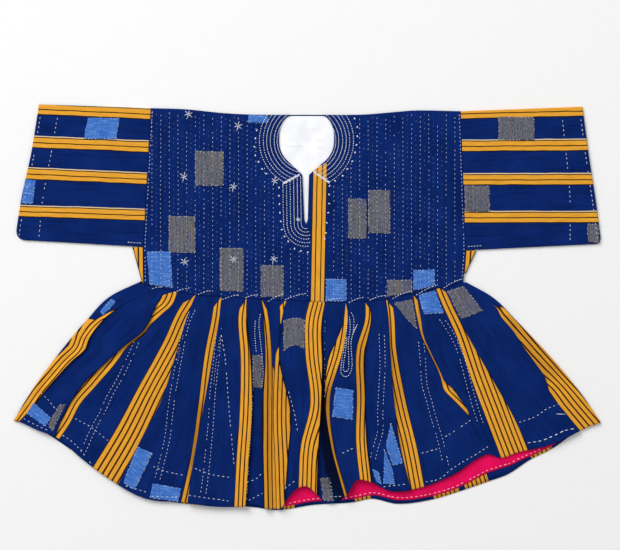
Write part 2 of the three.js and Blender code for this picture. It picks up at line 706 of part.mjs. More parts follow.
// Unit normals of a grid, from the differences between its neighbours.
function gridNormals(grid) {
  const lastRow = grid.length - 1;
  const lastColumn = grid[0].length - 1;
  return grid.map((row, r) =>
    row.map((p, c) => {
      const across = new THREE.Vector3().subVectors(
        row[Math.min(c + 1, lastColumn)],
        row[Math.max(c - 1, 0)],
      );
      const down = new THREE.Vector3().subVectors(
        grid[Math.min(r + 1, lastRow)][c],
        grid[Math.max(r - 1, 0)][c],
      );
      const normal = down.cross(across);
      if (r === 0) normal.y = 0;
      return normal.normalize();
    }),
  );
}

function offsetGrid(grid, normals, distance) {
  return grid.map((row, r) =>
    row.map((p, c) => p.clone().addScaledVector(normals[r][c], distance)),
  );
}
const skirtGrid = skirtMiddle();
const skirtNormals = gridNormals(skirtGrid);
const skirtGeometry = wallBetween(
  offsetGrid(skirtGrid, skirtNormals, clothWall / 2),
  offsetGrid(skirtGrid, skirtNormals, -clothWall / 2),
);
addPiece("skirt_front", skirtGeometry, "skirt");

// Height of a piece's upper face at a point of the plan, found by looking down on it.
const down = new THREE.Vector3(0, 0, -1);
const lookHeight = 100;
function topOf(mesh, x, y) {
  const ray = new THREE.Raycaster(new THREE.Vector3(x, y, lookHeight), down);
  const hits = ray.intersectObject(mesh);
  return hits.length > 0 ? hits[0].point.z : -Infinity;
}

// The highest of the faces close to a point, so that a patch clears the bends between its own points.
const clearance = 2.5;
function topNear(mesh, x, y) {
  let top = topOf(mesh, x, y);
  for (const step of [-clearance, clearance]) {
    top = Math.max(top, topOf(mesh, x + step, y), topOf(mesh, x, y + step));
  }
  return top;
}

// Fractions across a patch: even cells, or on the quilted front one at each crest and stitch row.
function patchColumns(patch) {
  const [leftTop, , , rightTop] = patch.corners;
  const width = rightTop[0] - leftTop[0];
  if (patch.on !== "body_front") {
    const cells = Math.max(Math.ceil(width / patchGrid), 2);
    return Array.from({ length: cells + 1 }, (_, i) => i / cells);
  }
  const inside = quiltColumns().filter((x) => x > leftTop[0] + 1 && x < rightTop[0] - 1);
  return [0, ...inside.map((x) => (x - leftTop[0]) / width), 1];
}

function patchGeometry(patch) {
  const panel = garment.getObjectByName(patch.on);
  const [leftTop, leftLow, rightLow, rightTop] = patch.corners;
  const height = Math.hypot(leftTop[0] - leftLow[0], leftTop[1] - leftLow[1]);
  const quilted = patch.on === "body_front";
  const rows = quilted ? 2 : Math.max(Math.ceil(height / patchGrid), 2);
  const lower = [];
  const upper = [];
  for (let r = 0; r <= rows; r += 1) {
    const t = r / rows;
    const start = [0, 1].map((i) => lerp(leftTop[i], leftLow[i], t));
    const end = [0, 1].map((i) => lerp(rightTop[i], rightLow[i], t));
    const points = patchColumns(patch).map((f) => {
      const x = lerp(start[0], end[0], f);
      const y = lerp(start[1], end[1], f);
      const top = quilted ? quiltTop(x, y).top : topNear(panel, x, y);
      return new THREE.Vector3(x, y, top + patchLift);
    });
    lower.push(points);
    upper.push(points.map((p) => p.clone().setZ(p.z + patchWall)));
  }
  return wallBetween(upper, lower);
}
for (const patch of patches) addPiece(`patch_${patch.name}`, patchGeometry(patch), patch.tint);

// The garment's origin is the middle of its box, on the surface it lies on.
const extent = new THREE.Box3().setFromObject(garment);
const centre = extent.getCenter(new THREE.Vector3());
garment.position.set(-centre.x, -centre.y, -extent.min.z);

export default garment;
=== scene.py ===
import math

import bpy
import numpy as np
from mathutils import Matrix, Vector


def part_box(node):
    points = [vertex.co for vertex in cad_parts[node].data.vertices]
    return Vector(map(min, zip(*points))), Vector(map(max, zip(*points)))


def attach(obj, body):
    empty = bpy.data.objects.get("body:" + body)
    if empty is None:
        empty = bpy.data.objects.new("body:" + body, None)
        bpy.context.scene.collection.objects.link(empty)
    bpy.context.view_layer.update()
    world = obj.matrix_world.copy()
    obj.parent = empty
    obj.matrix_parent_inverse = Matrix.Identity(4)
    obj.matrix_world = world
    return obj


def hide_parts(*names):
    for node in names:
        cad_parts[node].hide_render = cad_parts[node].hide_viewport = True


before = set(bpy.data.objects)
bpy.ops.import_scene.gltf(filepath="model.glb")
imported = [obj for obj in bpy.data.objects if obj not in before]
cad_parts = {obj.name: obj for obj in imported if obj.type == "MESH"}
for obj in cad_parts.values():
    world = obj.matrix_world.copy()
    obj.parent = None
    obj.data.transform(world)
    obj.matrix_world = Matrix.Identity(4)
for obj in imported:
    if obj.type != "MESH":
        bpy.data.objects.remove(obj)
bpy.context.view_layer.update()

# Layers of cloth, from the surface up
layers = {
    "clothWall": 2.0,
    "liningWall": 1.0,
    "facingWall": 1.2,
    "patchWall": 0.7,
    "patchLift": 0.45,
    "seamGap": 0.3,
    "waistGap": 0.2,
    "skirtBase": 5.0,
    "edgeDip": 1.3,
    "floorGap": 0.05,
    "threadLift": 0.3,
}
backTop = layers["clothWall"]
liningFloor = backTop + layers["seamGap"]
frontFloor = liningFloor + layers["liningWall"] + layers["seamGap"]
frontTop = frontFloor + layers["clothWall"]
foldRadius = frontTop / 2

# Left and right side of the body at the shoulder, armpit and waist
body = {
    "left": {"shoulder": -344.5, "armpit": -361.0, "waist": -360.0, "shoulderY": 437.0, "armpitY": 132.0},
    "right": {"shoulder": 336.0, "armpit": 347.0, "waist": 341.5, "shoulderY": 430.3, "armpitY": 124.5},
    "neckY": 423.0,
    "footY": 20.0,
    "shoulderX": [-344.5, -271, -182, -123, 0, 121, 189, 233, 336],
    "shoulderHeights": [437, 434.7, 426, 423, 422.5, 423, 428.3, 431.8, 430.3],
    "quiltPitch": 19.0,
    "quiltRise": 0.85,
    "quiltEnds": (-342.0, 323.0),
}
waistSeam = {
    "x": [-367, -364, -330, -237, -60, 70, 170, 270, 349],
    "y": [60, 50.5, 41, 24, 14, 9, 15, 37, 55],
}

# The part's own place gives the move from these millimetres to the frame's metres
backLow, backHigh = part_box("body_back")
frameShift = np.array([
    backLow[0] * 1000 - body["left"]["armpit"],
    backHigh[1] * 1000 - body["left"]["shoulderY"],
    0.0,
])


def toFrame(points):
    return (np.asarray(points, float).reshape(-1, 3) + frameShift) / 1000


def lerp(start, end, t):
    return start + (end - start) * t


def onLine(knots, values, at):
    # The straight line through two points, which runs on beyond both
    return lerp(values[0], values[1], (at - knots[0]) / (knots[1] - knots[0]))


def smooth(t):
    # 3t^2 - 2t^3 between 0 and 1, level beyond
    t = np.clip(t, 0, 1)
    return t * t * (3 - 2 * t)


def through(knots, values, at):
    # Cubic through the knots: each end's pull is the mean of the slopes beside it
    knots = np.asarray(knots, float)
    values = np.asarray(values, float)
    at = np.clip(at, knots[0], knots[-1])
    i = np.clip(np.searchsorted(knots, at, side="left") - 1, 0, len(knots) - 2)
    slopes = np.diff(values) / np.diff(knots)
    pulls = np.concatenate([slopes[:1], (slopes[1:] + slopes[:-1]) / 2, slopes[-1:]])
    span = knots[i + 1] - knots[i]
    t = (at - knots[i]) / span
    rise = t * t * (3 - 2 * t)
    startPull = t * (1 - t) ** 2 * span * pulls[i]
    endPull = t * t * (t - 1) * span * pulls[i + 1]
    return values[i] * (1 - rise) + values[i + 1] * rise + startPull + endPull


def waistY(x):
    return np.interp(x, waistSeam["x"], waistSeam["y"])


def shoulderY(x):
    # Lowest across the neck, higher towards both sleeves
    return through(body["shoulderX"], body["shoulderHeights"], np.asarray(x, float))


def sideX(side, y):
    # Armhole seam above the armpit, side seam below it
    sizes = body[side]
    up = (y - sizes["armpitY"]) / (sizes["shoulderY"] - sizes["armpitY"])
    foot = waistY(sizes["waist"])
    low = np.clip((y - foot) / (sizes["armpitY"] - foot), 0, 1)
    above = lerp(sizes["armpit"], sizes["shoulder"], up)
    below = lerp(sizes["waist"], sizes["armpit"], low)
    return np.where(y > sizes["armpitY"], above, below)


# Meshes

def quads(index):
    # Each cell's four corners, turned to face up when rows run down the garment and columns to the right
    corners = [index[:-1, :-1], index[1:, :-1], index[1:, 1:], index[:-1, 1:]]
    return np.stack(corners, axis=-1).reshape(-1, 4)


def gridFaces(rows, columns, wrapped=False):
    index = np.arange(rows * columns).reshape(rows, columns)
    return quads(np.column_stack([index, index[:, :1]]) if wrapped else index)


def pointsAt(x, y, height):
    # Points from three grids, each of which may also be a row, a column or one number
    return np.stack(np.broadcast_arrays(x, y, height), axis=-1)


def lengthsAlong(path):
    # The length of a line of points up to each of them
    return np.concatenate([[0], np.cumsum(np.linalg.norm(np.diff(path, axis=0), axis=-1))])


def placesAt(path, run, lengths):
    # The places on a path at the given lengths along it
    return np.stack([np.interp(lengths, run, path[:, k]) for k in (0, 1)], axis=-1)


def closeShell(outer, inner, faces):
    # The outer faces, the inner ones turned round, and a rim wherever an edge has a face on one side only
    count = len(outer)
    heads = faces.ravel()
    tails = np.roll(faces, -1, axis=1).ravel()
    forward = heads.astype(np.int64) * count + tails
    backward = tails.astype(np.int64) * count + heads
    free = ~np.isin(forward, backward)
    rim = np.column_stack([tails[free], heads[free], heads[free] + count, tails[free] + count])
    return np.vstack([outer, inner]), np.vstack([faces, faces[:, ::-1] + count, rim])


def facingOut(points, faces):
    # Turns every face round if the closed mesh would hold a negative volume
    corners = points[faces]
    first = np.cross(corners[:, 1] - corners[:, 0], corners[:, 2] - corners[:, 0])
    second = np.cross(corners[:, 2] - corners[:, 0], corners[:, 3] - corners[:, 0])
    volume = np.einsum("ij,ij->", corners[:, 0], first + second)
    return faces if volume > 0 else faces[:, ::-1]


def addObject(name, data):
    made = bpy.data.objects.new(name, data)
    bpy.context.scene.collection.objects.link(made)
    return made


def addMesh(name, points, faces, material, values=None, clothUv=None, soft=True):
    # values are numbers for each point that its material reads, clothUv the cloth's own metres
    faces = facingOut(points, faces)
    mesh = bpy.data.meshes.new(name)
    mesh.vertices.add(len(points))
    mesh.vertices.foreach_set("co", toFrame(points).astype(np.float32).ravel())
    mesh.loops.add(faces.size)
    mesh.loops.foreach_set("vertex_index", faces.astype(np.int32).ravel())
    mesh.polygons.add(len(faces))
    mesh.polygons.foreach_set("loop_start", np.arange(0, faces.size, 4, dtype=np.int32))
    mesh.update(calc_edges=True)
    for key, numbers in (values or {}).items():
        layer = mesh.attributes.new(key, "FLOAT", "POINT")
        layer.data.foreach_set("value", np.asarray(numbers, np.float32).ravel())
    if clothUv is not None:
        layer = mesh.uv_layers.new(name="cloth")
        layer.data.foreach_set("uv", np.asarray(clothUv, np.float32)[faces.ravel()].ravel())
    mesh.polygons.foreach_set("use_smooth", np.array(np.broadcast_to(soft, len(faces))))
    mesh.materials.append(material)
    piece = addObject(name, mesh)
    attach(piece, "root")
    return piece


def addPanel(name, top, floor, faces, material, uv, values=None):
    # A panel of cloth: its upper and lower points, closed along every edge
    points, closed = closeShell(top.reshape(-1, 3), floor.reshape(-1, 3), faces)
    twice = {key: np.tile(np.ravel(numbers), 2) for key, numbers in (values or {}).items()}
    notRim = np.arange(len(closed)) < 2 * len(faces)
    return addMesh(name, points, closed, material, twice, np.tile(uv.reshape(-1, 2) / 1000, (2, 1)), notRim)


def gridNormals(grid):
    # Cross product of the steps down and across, level in Y at the first row
    across = np.empty_like(grid)
    across[:, 1:-1] = grid[:, 2:] - grid[:, :-2]
    across[:, 0] = grid[:, 1] - grid[:, 0]
    across[:, -1] = grid[:, -1] - grid[:, -2]
    downward = np.empty_like(grid)
    downward[1:-1] = grid[2:] - grid[:-2]
    downward[0] = grid[1] - grid[0]
    downward[-1] = grid[-1] - grid[-2]
    normals = np.cross(downward, across)
    normals[0, :, 1] = 0
    return normals / np.linalg.norm(normals, axis=-1, keepdims=True)


def clothLengths(grid):
    # Millimetres of cloth across, taken at the hem so that a thread keeps its place, and down each column
    downward = np.linalg.norm(np.diff(grid, axis=0), axis=-1)
    downward = np.vstack([np.zeros(grid.shape[1]), np.cumsum(downward, axis=0)])
    return np.stack([np.broadcast_to(lengthsAlong(grid[-1]), downward.shape), downward], axis=-1)


# Height of the uppermost cloth over the plan, so that patches and stitches lie on it
relief = {"cell": 1.5, "low": (-655.0, -455.0), "high": (655.0, 455.0)}
reliefShape = tuple(
    int((relief["high"][i] - relief["low"][i]) / relief["cell"]) + 2 for i in (1, 0)
)
reliefHeight = np.full(reliefShape, -1.0)


def refine(grid, rowTimes, columnTimes):
    # More points along straight lines between the rows and the columns
    for axis, times in ((0, rowTimes), (1, columnTimes)):
        last = grid.shape[axis] - 1
        at = np.linspace(0, last, last * times + 1)
        i = np.minimum(at.astype(int), last - 1)
        t = (at - i).reshape([-1 if k == axis else 1 for k in range(3)])
        grid = np.take(grid, i, axis) * (1 - t) + np.take(grid, i + 1, axis) * t
    return grid


def cellsOf(x, y):
    column = (np.asarray(x, float) - relief["low"][0]) / relief["cell"]
    row = (np.asarray(y, float) - relief["low"][1]) / relief["cell"]
    return row, column


def raiseRelief(grid, rowTimes, columnTimes):
    # Notes the highest point in each cell, and gives an empty cell its highest neighbour
    fine = refine(grid, rowTimes, columnTimes).reshape(-1, 3)
    row, column = cellsOf(fine[:, 0], fine[:, 1])
    noted = np.full(reliefShape, -1.0)
    np.maximum.at(noted, (np.rint(row).astype(int), np.rint(column).astype(int)), fine[:, 2])
    spread = highestAround(noted)
    np.maximum(reliefHeight, np.where(noted < 0, spread, noted), out=reliefHeight)


def highestAround(heights):
    around = heights.copy()
    for rowStep in (-1, 0, 1):
        for columnStep in (-1, 0, 1):
            np.maximum(around, np.roll(heights, (rowStep, columnStep), (0, 1)), out=around)
    return around


def heightAt(x, y, heights=None):
    # Straight mean of the four cells round a point
    heights = reliefHeight if heights is None else heights
    row, column = cellsOf(x, y)
    i = row.astype(int)
    j = column.astype(int)
    u = row - i
    v = column - j
    lower = heights[i, j] * (1 - v) + heights[i, j + 1] * v
    upper = heights[i + 1, j] * (1 - v) + heights[i + 1, j + 1] * v
    return lower * (1 - u) + upper * u


# Materials

def linear(hexColour):
    # sRGB hex to the linear colour that shaders take
    channels = [int(hexColour[i:i + 2], 16) / 255 for i in (1, 3, 5)]
    return [c / 12.92 if c <= 0.04045 else ((c + 0.055) / 1.055) ** 2.4 for c in channels] + [1]


def addNode(tree, kind, settings=None, links=None):
    # Adds a node. A setting or link is named by an input's name or number, or by the node's own property
    made = tree.nodes.new("ShaderNode" + kind)
    for key, value in (settings or {}).items():
        if isinstance(key, str) and hasattr(made, key):
            setattr(made, key, value)
        else:
            made.inputs[key].default_value = value
    for key, source in (links or {}).items():
        tree.links.new(source, made.inputs[key])
    return made


def calculate(tree, operation, first, second=0.0, third=0.0):
    # One sum of two or three numbers or sockets
    settings = {"operation": operation}
    links = {}
    for i, value in enumerate((first, second, third)):
        if isinstance(value, (int, float)):
            settings[i] = value
        else:
            links[i] = value
    return addNode(tree, "Math", settings, links).outputs[0]


def blend(tree, amount, first, second, share=1.0):
    # Mix of two colours, each a socket or a hex. The second takes at most the share
    if share < 1:
        amount = calculate(tree, "MULTIPLY", amount, share)
    settings = {"data_type": "RGBA"}
    links = {0: amount}
    for key, value in ((6, first), (7, second)):
        if isinstance(value, str):
            settings[key] = linear(value)
        else:
            links[key] = value
    return addNode(tree, "Mix", settings, links).outputs[2]


def attribute(tree, name):
    # The piece's own number at each point
    return addNode(tree, "Attribute", {"attribute_name": name}).outputs["Fac"]


def startMaterial(name, look):
    # look holds the roughness, and the sheen and its tint. Cloth has hardly any gloss
    material = bpy.data.materials.new(name)
    material.use_nodes = True
    shader = material.node_tree.nodes["Principled BSDF"]
    shader.inputs["Roughness"].default_value = look["roughness"]
    shader.inputs["Sheen Weight"].default_value = look["sheen"]
    shader.inputs["Sheen Roughness"].default_value = 0.45
    shader.inputs["Sheen Tint"].default_value = linear(look["sheenTint"])
    shader.inputs["Specular IOR Level"].default_value = 0.06
    return material, material.node_tree, shader


def slub(tree, uv, across, along, detail=2.0):
    # Uneven yarn: noise as wide as across and as long as along, both in millimetres
    stretched = addNode(
        tree, "Mapping", {"Scale": (1000 / across, 1000 / along, 1)}, {"Vector": uv}
    ).outputs[0]
    return addNode(
        tree, "TexNoise", {"Scale": 1.0, "Detail": detail, "Roughness": 0.55}, {"Vector": stretched}
    ).outputs["Fac"]


def weave(tree, u, v, pitch):
    # Plain weave: sin(pi u / pitch) times sin(pi v / pitch), so that neighbouring threads pass over and
    # under
    turns = math.pi * 1000 / pitch
    across = calculate(tree, "SINE", calculate(tree, "MULTIPLY", u, turns))
    along = calculate(tree, "SINE", calculate(tree, "MULTIPLY", v, turns))
    return calculate(tree, "MULTIPLY", across, along)


def stretch(tree, value, low, high, newLow=0.0, newHigh=1.0):
    return addNode(
        tree, "MapRange", {"From Min": low, "From Max": high, "To Min": newLow, "To Max": newHigh},
        {"Value": value},
    ).outputs[0]


def addBump(tree, shader, height, depth, strength=1.0):
    # The height counts from 0 to 1 and the depth is in millimetres
    settings = {"Strength": strength, "Distance": depth / 1000}
    bump = addNode(tree, "Bump", settings, {"Height": height}).outputs[0]
    tree.links.new(bump, shader.inputs["Normal"])


def clothMaterial(name, look, colourOf):
    # A colour over the bumps of the threads and of the slower unevenness of hand-spun yarn. look also
    # holds the weave's pitch as drawn and its depth, in millimetres
    material, tree, shader = startMaterial(name, look)
    uv = addNode(tree, "UVMap", {"uv_map": "cloth"}).outputs[0]
    place = addNode(tree, "SeparateXYZ", links={0: uv}).outputs
    threads = weave(tree, place[0], place[1], look["pitch"])
    height = calculate(tree, "MULTIPLY_ADD", threads, 0.35, slub(tree, uv, 2.6, 14.0))
    tree.links.new(colourOf(tree, uv), shader.inputs["Base Color"])
    addBump(tree, shader, height, look["depth"])
    return material


# Handwoven strip cloth. Its real threads lie 0.9 mm apart, which is too fine for the render, so the
# weave is drawn at 2 mm. It gives the eye a dull, dense blue with faint lengthwise streaks.
indigo = {
    "base": "#052468",
    "deep": "#031b52",
    "worn": "#173a8e",
    # Painted shade: the near black that the indigo and the patch in the deep fold are darkened towards
    "paintedFoldShade": "#020718",
    "roughness": 0.88,
    "sheen": 0.04,
    "sheenTint": "#3c5cb4",
    "pitch": 2.0,
    "depth": 0.22,
}


def indigoColour(tree, uv):
    streaks = stretch(tree, slub(tree, uv, 5.0, 90.0), 0.32, 0.7)
    clouds = stretch(tree, slub(tree, uv, 60.0, 75.0), 0.38, 0.68)
    flecks = stretch(tree, slub(tree, uv, 2.2, 4.5), 0.6, 0.78)
    dyed = blend(tree, streaks, indigo["deep"], indigo["base"])
    clouded = blend(tree, clouds, dyed, indigo["worn"], 0.2)
    return blend(tree, flecks, clouded, indigo["worn"], 0.3)


# Striped band woven into the strip: yellow with black lines. It gives the eye a warm flat yellow
# whose yarns show as browner flecks.
bandCloth = {
    "yellow": "#eeab33",
    "amber": "#d59331",
    "pale": "#f8c657",
    "line": "#1a0f0c",
    "rust": "#8a3f12",
    # Painted shade: the brown that a band takes where it lies in a fold
    "paintedBandShade": "#6e3a12",
}


def yellowColour(tree, uv):
    yarns = stretch(tree, slub(tree, uv, 2.4, 30.0), 0.3, 0.72)
    flecks = stretch(tree, slub(tree, uv, 2.0, 5.0), 0.58, 0.8)
    yellow = blend(tree, yarns, bandCloth["amber"], bandCloth["yellow"])
    return blend(tree, flecks, yellow, bandCloth["pale"], 0.5)


def stripeRamp(tree, place, width, stops):
    # Flat colours across a band. stops are (millimetres from its first edge, hex)
    ramp = addNode(tree, "ValToRGB", links={0: stretch(tree, place, 0.0, width)})
    ramp.color_ramp.interpolation = "CONSTANT"
    elements = ramp.color_ramp.elements
    for i, (millimetres, colour) in enumerate(stops):
        element = elements[i] if i < 2 else elements.new(millimetres / width)
        element.position = millimetres / width
        element.color = linear(colour)
    return ramp.outputs[0]


# Stands for a place or a distance away from every band
farFromBand = 60.0

# The bands' own measures in millimetres. Lines are dark: on the body two beside the centre, on the skirt
# one at every pitch. The sleeve's stops run from its white edge thread
bodyBand = {"halfWidth": 15.6, "lineAt": 5.9, "lineWidth": 2.3, "edge": 1.5}
skirtBand = {"linePitch": 9.4, "lineWidth": 2.3, "edge": 1.1, "rustReach": 0.6}
sleeveBand = {
    "spacing": 100.0,
    "beforeCentre": 12.0,
    "reach": (-14.0, 17.0),
    "clear": 15.0,
    "width": 26.8,
    "rampWidth": 28.0,
    "stops": [
        (0.0, "#e2c9a0"), (2.1, bandCloth["line"]),
        (4.3, bandCloth["yellow"]), (13.7, bandCloth["line"]),
        (16.0, bandCloth["yellow"]), (24.6, bandCloth["line"]),
        (26.8, indigo["base"]),
    ],
    "yellows": ((9.0, 4.7), (20.3, 4.3)),
}


def bodyColour(tree, uv):
    # The band down the middle of the front. bandPos is millimetres from its centre, bandStart millimetres
    # above its slanted top
    distance = calculate(tree, "ABSOLUTE", attribute(tree, "bandPos"))
    inBand = calculate(tree, "LESS_THAN", distance, bodyBand["halfWidth"])
    below = calculate(tree, "LESS_THAN", attribute(tree, "bandStart"), 0.0)
    line = calculate(tree, "COMPARE", distance, bodyBand["lineAt"], bodyBand["lineWidth"] / 2)
    edge = calculate(tree, "GREATER_THAN", distance, bodyBand["halfWidth"] - bodyBand["edge"])
    dark = calculate(tree, "MAXIMUM", line, edge)
    striped = blend(tree, dark, yellowColour(tree, uv), bandCloth["line"])
    return blend(tree, calculate(tree, "MULTIPLY", inBand, below), indigoColour(tree, uv), striped)


def skirtColour(tree, uv):
    # bandPos is millimetres from a band's woven edge, which places its dark lines; bandShow is above nought
    # where the band shows; bandRoll is millimetres from its rolled edge; bandShade is how much painted
    # shade browns the band where it lies in a fold, foldShade how much painted shade darkens the indigo
    # there
    waver = calculate(tree, "MULTIPLY_ADD", slub(tree, uv, 6.0, 40.0), 0.8, -0.4)
    near = calculate(tree, "ADD", attribute(tree, "bandPos"), waver)
    show = attribute(tree, "bandShow")
    fromLine = calculate(tree, "PINGPONG", near, skirtBand["linePitch"] / 2)
    line = calculate(tree, "LESS_THAN", fromLine, skirtBand["lineWidth"] / 2)
    rolled = calculate(tree, "LESS_THAN", attribute(tree, "bandRoll"), skirtBand["edge"])
    woven = calculate(tree, "LESS_THAN", show, skirtBand["edge"])
    dark = calculate(tree, "MAXIMUM", line, calculate(tree, "MAXIMUM", rolled, woven))
    rust = calculate(tree, "LESS_THAN", fromLine, skirtBand["lineWidth"] / 2 + skirtBand["rustReach"])
    rusty = blend(tree, rust, yellowColour(tree, uv), bandCloth["rust"], 0.6)
    # Painted shade: the band browns where it lies in a fold
    yellow = blend(tree, attribute(tree, "bandShade"), rusty, bandCloth["paintedBandShade"])
    striped = blend(tree, dark, yellow, bandCloth["line"])
    # Painted shade: the indigo goes near black in the deep fold
    plain = blend(tree, attribute(tree, "foldShade"), indigoColour(tree, uv), indigo["paintedFoldShade"], 0.92)
    return blend(tree, calculate(tree, "GREATER_THAN", show, 0.0), plain, striped)


def sleeveColour(tree, uv):
    # Bands along the sleeve. bandPos counts one spacing from each band's centre to the next, and
    # millimetres near each
    spacing = sleeveBand["spacing"]
    waver = calculate(tree, "MULTIPLY_ADD", slub(tree, uv, 40.0, 60.0), 3.6, -1.8)
    near = calculate(tree, "ADD", attribute(tree, "bandPos"), waver)
    within = calculate(tree, "FLOORED_MODULO", calculate(tree, "ADD", near, spacing / 2), spacing)
    offset = calculate(tree, "ADD", within, sleeveBand["beforeCentre"] - spacing / 2)
    inBand = calculate(tree, "COMPARE", offset, sleeveBand["width"] / 2, sleeveBand["width"] / 2)
    ramp = stripeRamp(tree, offset, sleeveBand["rampWidth"], sleeveBand["stops"])
    first, second = (calculate(tree, "COMPARE", offset, *reach) for reach in sleeveBand["yellows"])
    striped = blend(tree, calculate(tree, "ADD", first, second), ramp, yellowColour(tree, uv))
    return blend(tree, inBand, indigoColour(tree, uv), striped)


# Machine-woven plain cotton, dyed in one colour. It gives the eye a smooth, even cloth with a fine weave
whitePlain = {
    "base": "#ffffff",
    "cloud": "#f0f1f7",
    "roughness": 0.85,
    "sheen": 0.1,
    "sheenTint": "#ffffff",
    "pitch": 1.6,
    "depth": 0.1,
}
pinkPlain = {
    "base": "#f00c5c",
    "cloud": "#d60a50",
    "roughness": 0.8,
    "sheen": 0.1,
    "sheenTint": "#f00c5c",
    "pitch": 1.6,
    "depth": 0.12,
}


def plainCotton(name, look):
    def colourOf(tree, uv):
        clouds = stretch(tree, slub(tree, uv, 35.0, 45.0), 0.35, 0.7)
        return blend(tree, clouds, look["cloud"], look["base"])

    return clothMaterial(name, look, colourOf)


# Chambray: blue warp over a white weft. It gives the eye a light blue with pale slubs both ways
chambrayLook = {
    "blues": ("#2b5cb0", "#477dcc"),
    "worn": "#3a6cc0",
    "weft": "#9dbfee",
    "roughness": 0.9,
    "sheen": 0.15,
    "sheenTint": "#a8c4ee",
    "pitch": 2.0,
    "depth": 0.35,
}


def chambrayColour(tree, uv):
    warp = stretch(tree, slub(tree, uv, 2.2, 26.0), 0.34, 0.68)
    weft = stretch(tree, slub(tree, uv, 26.0, 2.2), 0.5, 0.74)
    wear = stretch(tree, slub(tree, uv, 9.0, 12.0), 0.35, 0.7)
    blue = blend(tree, warp, *chambrayLook["blues"])
    worn = blend(tree, wear, blue, chambrayLook["worn"], 0.45)
    return blend(tree, weft, worn, chambrayLook["weft"], 0.5)


# Hand-woven grey stripe: black and white yarns with a few yellow and blue ones. From a step away it gives
# the eye a speckled cool grey
greyLook = {
    "warps": ("#2e3043", "#5e5f69"),
    "cross": "#4a4b58",
    "speckle": "#87868e",
    "yellowYarn": "#8f7d46",
    "blueYarn": "#37478a",
    "roughness": 0.92,
    "sheen": 0.05,
    "sheenTint": "#c8c8c8",
    "pitch": 2.0,
    "depth": 0.4,
}


def greyColour(tree, uv):
    warp = stretch(tree, slub(tree, uv, 3.4, 70.0), 0.34, 0.66)
    speckle = stretch(tree, slub(tree, uv, 2.4, 6.0), 0.36, 0.66)
    yellowYarn = stretch(tree, slub(tree, uv, 4.2, 90.0), 0.6, 0.66)
    blueYarn = stretch(tree, slub(tree, uv, 5.1, 80.0), 0.33, 0.39, 1.0, 0.0)
    cross = stretch(tree, slub(tree, uv, 60.0, 3.0), 0.4, 0.62)
    colour = blend(tree, warp, *greyLook["warps"])
    yarns = [
        (cross, "cross", 0.5), (speckle, "speckle", 0.6),
        (yellowYarn, "yellowYarn", 0.45), (blueYarn, "blueYarn", 0.5),
    ]
    for amount, key, share in yarns:
        colour = blend(tree, amount, colour, greyLook[key], share)
    # Painted shade: the patch is darkened towards near black in the deep fold
    return blend(tree, attribute(tree, "foldShade"), colour, indigo["paintedFoldShade"], 0.6)


def noiseMaterial(name, look):
    # Even noise between two colours, which may also be its bump
    material, tree, shader = startMaterial(name, look)
    place = addNode(tree, "TexCoord").outputs["Object"]
    settings = {"Scale": look["scale"], "Detail": look["detail"]}
    noise = addNode(tree, "TexNoise", settings, {"Vector": place}).outputs["Fac"]
    tree.links.new(blend(tree, noise, *look["colours"]), shader.inputs["Base Color"])
    if "depth" in look:
        addBump(tree, shader, noise, look["depth"], 0.5)
    return material


# White mercerised cotton thread: bright, with a low gloss along its twist
threadLook = {
    "colours": ("#dbe2f4", "#ffffff"),
    "scale": 900.0,
    "detail": 1.0,
    "roughness": 0.6,
    "sheen": 0.1,
    "sheenTint": "#ffffff",
    "depth": 0.2,
}
# Seamless studio paper: matt and close to white
paperLook = {
    "colours": ("#f3f3f3", "#f6f6f6"),
    "scale": 40.0,
    "detail": 2.0,
    "roughness": 0.95,
    "sheen": 0.0,
    "sheenTint": "#ffffff",
}

indigoCotton = clothMaterial("handwovenIndigoCotton", indigo, indigoColour)
bodyCotton = clothMaterial("quiltedIndigoCotton", indigo, bodyColour)
skirtCotton = clothMaterial("skirtStripCotton", indigo, skirtColour)
sleeveCotton = clothMaterial("sleeveStripCotton", indigo, sleeveColour)
whiteCotton = plainCotton("whitePlainCotton", whitePlain)
pinkCotton = plainCotton("pinkPlainCotton", pinkPlain)
chambray = clothMaterial("chambrayCotton", chambrayLook, chambrayColour)
greyStripe = clothMaterial("greyStripedCotton", greyLook, greyColour)
thread = noiseMaterial("whiteCottonThread", threadLook)
studioPaper = noiseMaterial("studioPaper", paperLook)
print("materials made")


def creaseHeight(x, y, creases):
    # Each crease is a Gaussian ridge about its line, fading in and out along it as a sine
    total = 0 * x + 0 * y
    for (x0, y0), (x1, y1), reach, rise in creases:
        length = math.hypot(x1 - x0, y1 - y0)
        along = ((x - x0) * (x1 - x0) + (y - y0) * (y1 - y0)) / length ** 2
        across = ((x - x0) * (y1 - y0) - (y - y0) * (x1 - x0)) / length
        across = across + 0.35 * reach * np.sin(3.3 * along + x0)
        total += rise * np.exp(-(across / reach) ** 2) * np.sin(math.pi * np.clip(along, 0, 1)) ** 0.8
    return total


# Body back and its lining

def levelPanel(name, left, right, top, foot, floor, wall, rows, columns, material, wave=0.0, creases=()):
    # Rows run from the top edge to the foot edge and columns from side to side; every edge is a function
    down = np.linspace(0, 1, rows)[:, None]
    across = np.linspace(0, 1, columns)[None, :]
    y = lerp(body["neckY"], body["footY"], down) * np.ones_like(across)
    for _ in range(3):  # the sides depend on y and the ends on x, and this settles both
        x = lerp(left(y), right(y), across)
        y = lerp(top(x), foot(x), down)
    ripple = wave * np.sin(x / 31) * np.sin(y / 23) * np.sin(math.pi * down) * np.sin(math.pi * across)
    upper = pointsAt(x, y, floor + wall + np.abs(ripple) + creaseHeight(x, y, creases))
    return addPanel(name, upper, pointsAt(x, y, floor), gridFaces(rows, columns), material, upper[..., :2])


# Creases seen through the neck: from, to, half width and height
liningCreases = [
    ((-50, 354), (-6, 357), 2.0, 1.5),
    ((-8, 357), (40, 351), 2.0, 1.4),
    ((12, 366), (46, 374), 3.4, 0.7),
    ((-22, 398), (30, 392), 4.0, 0.6),
]


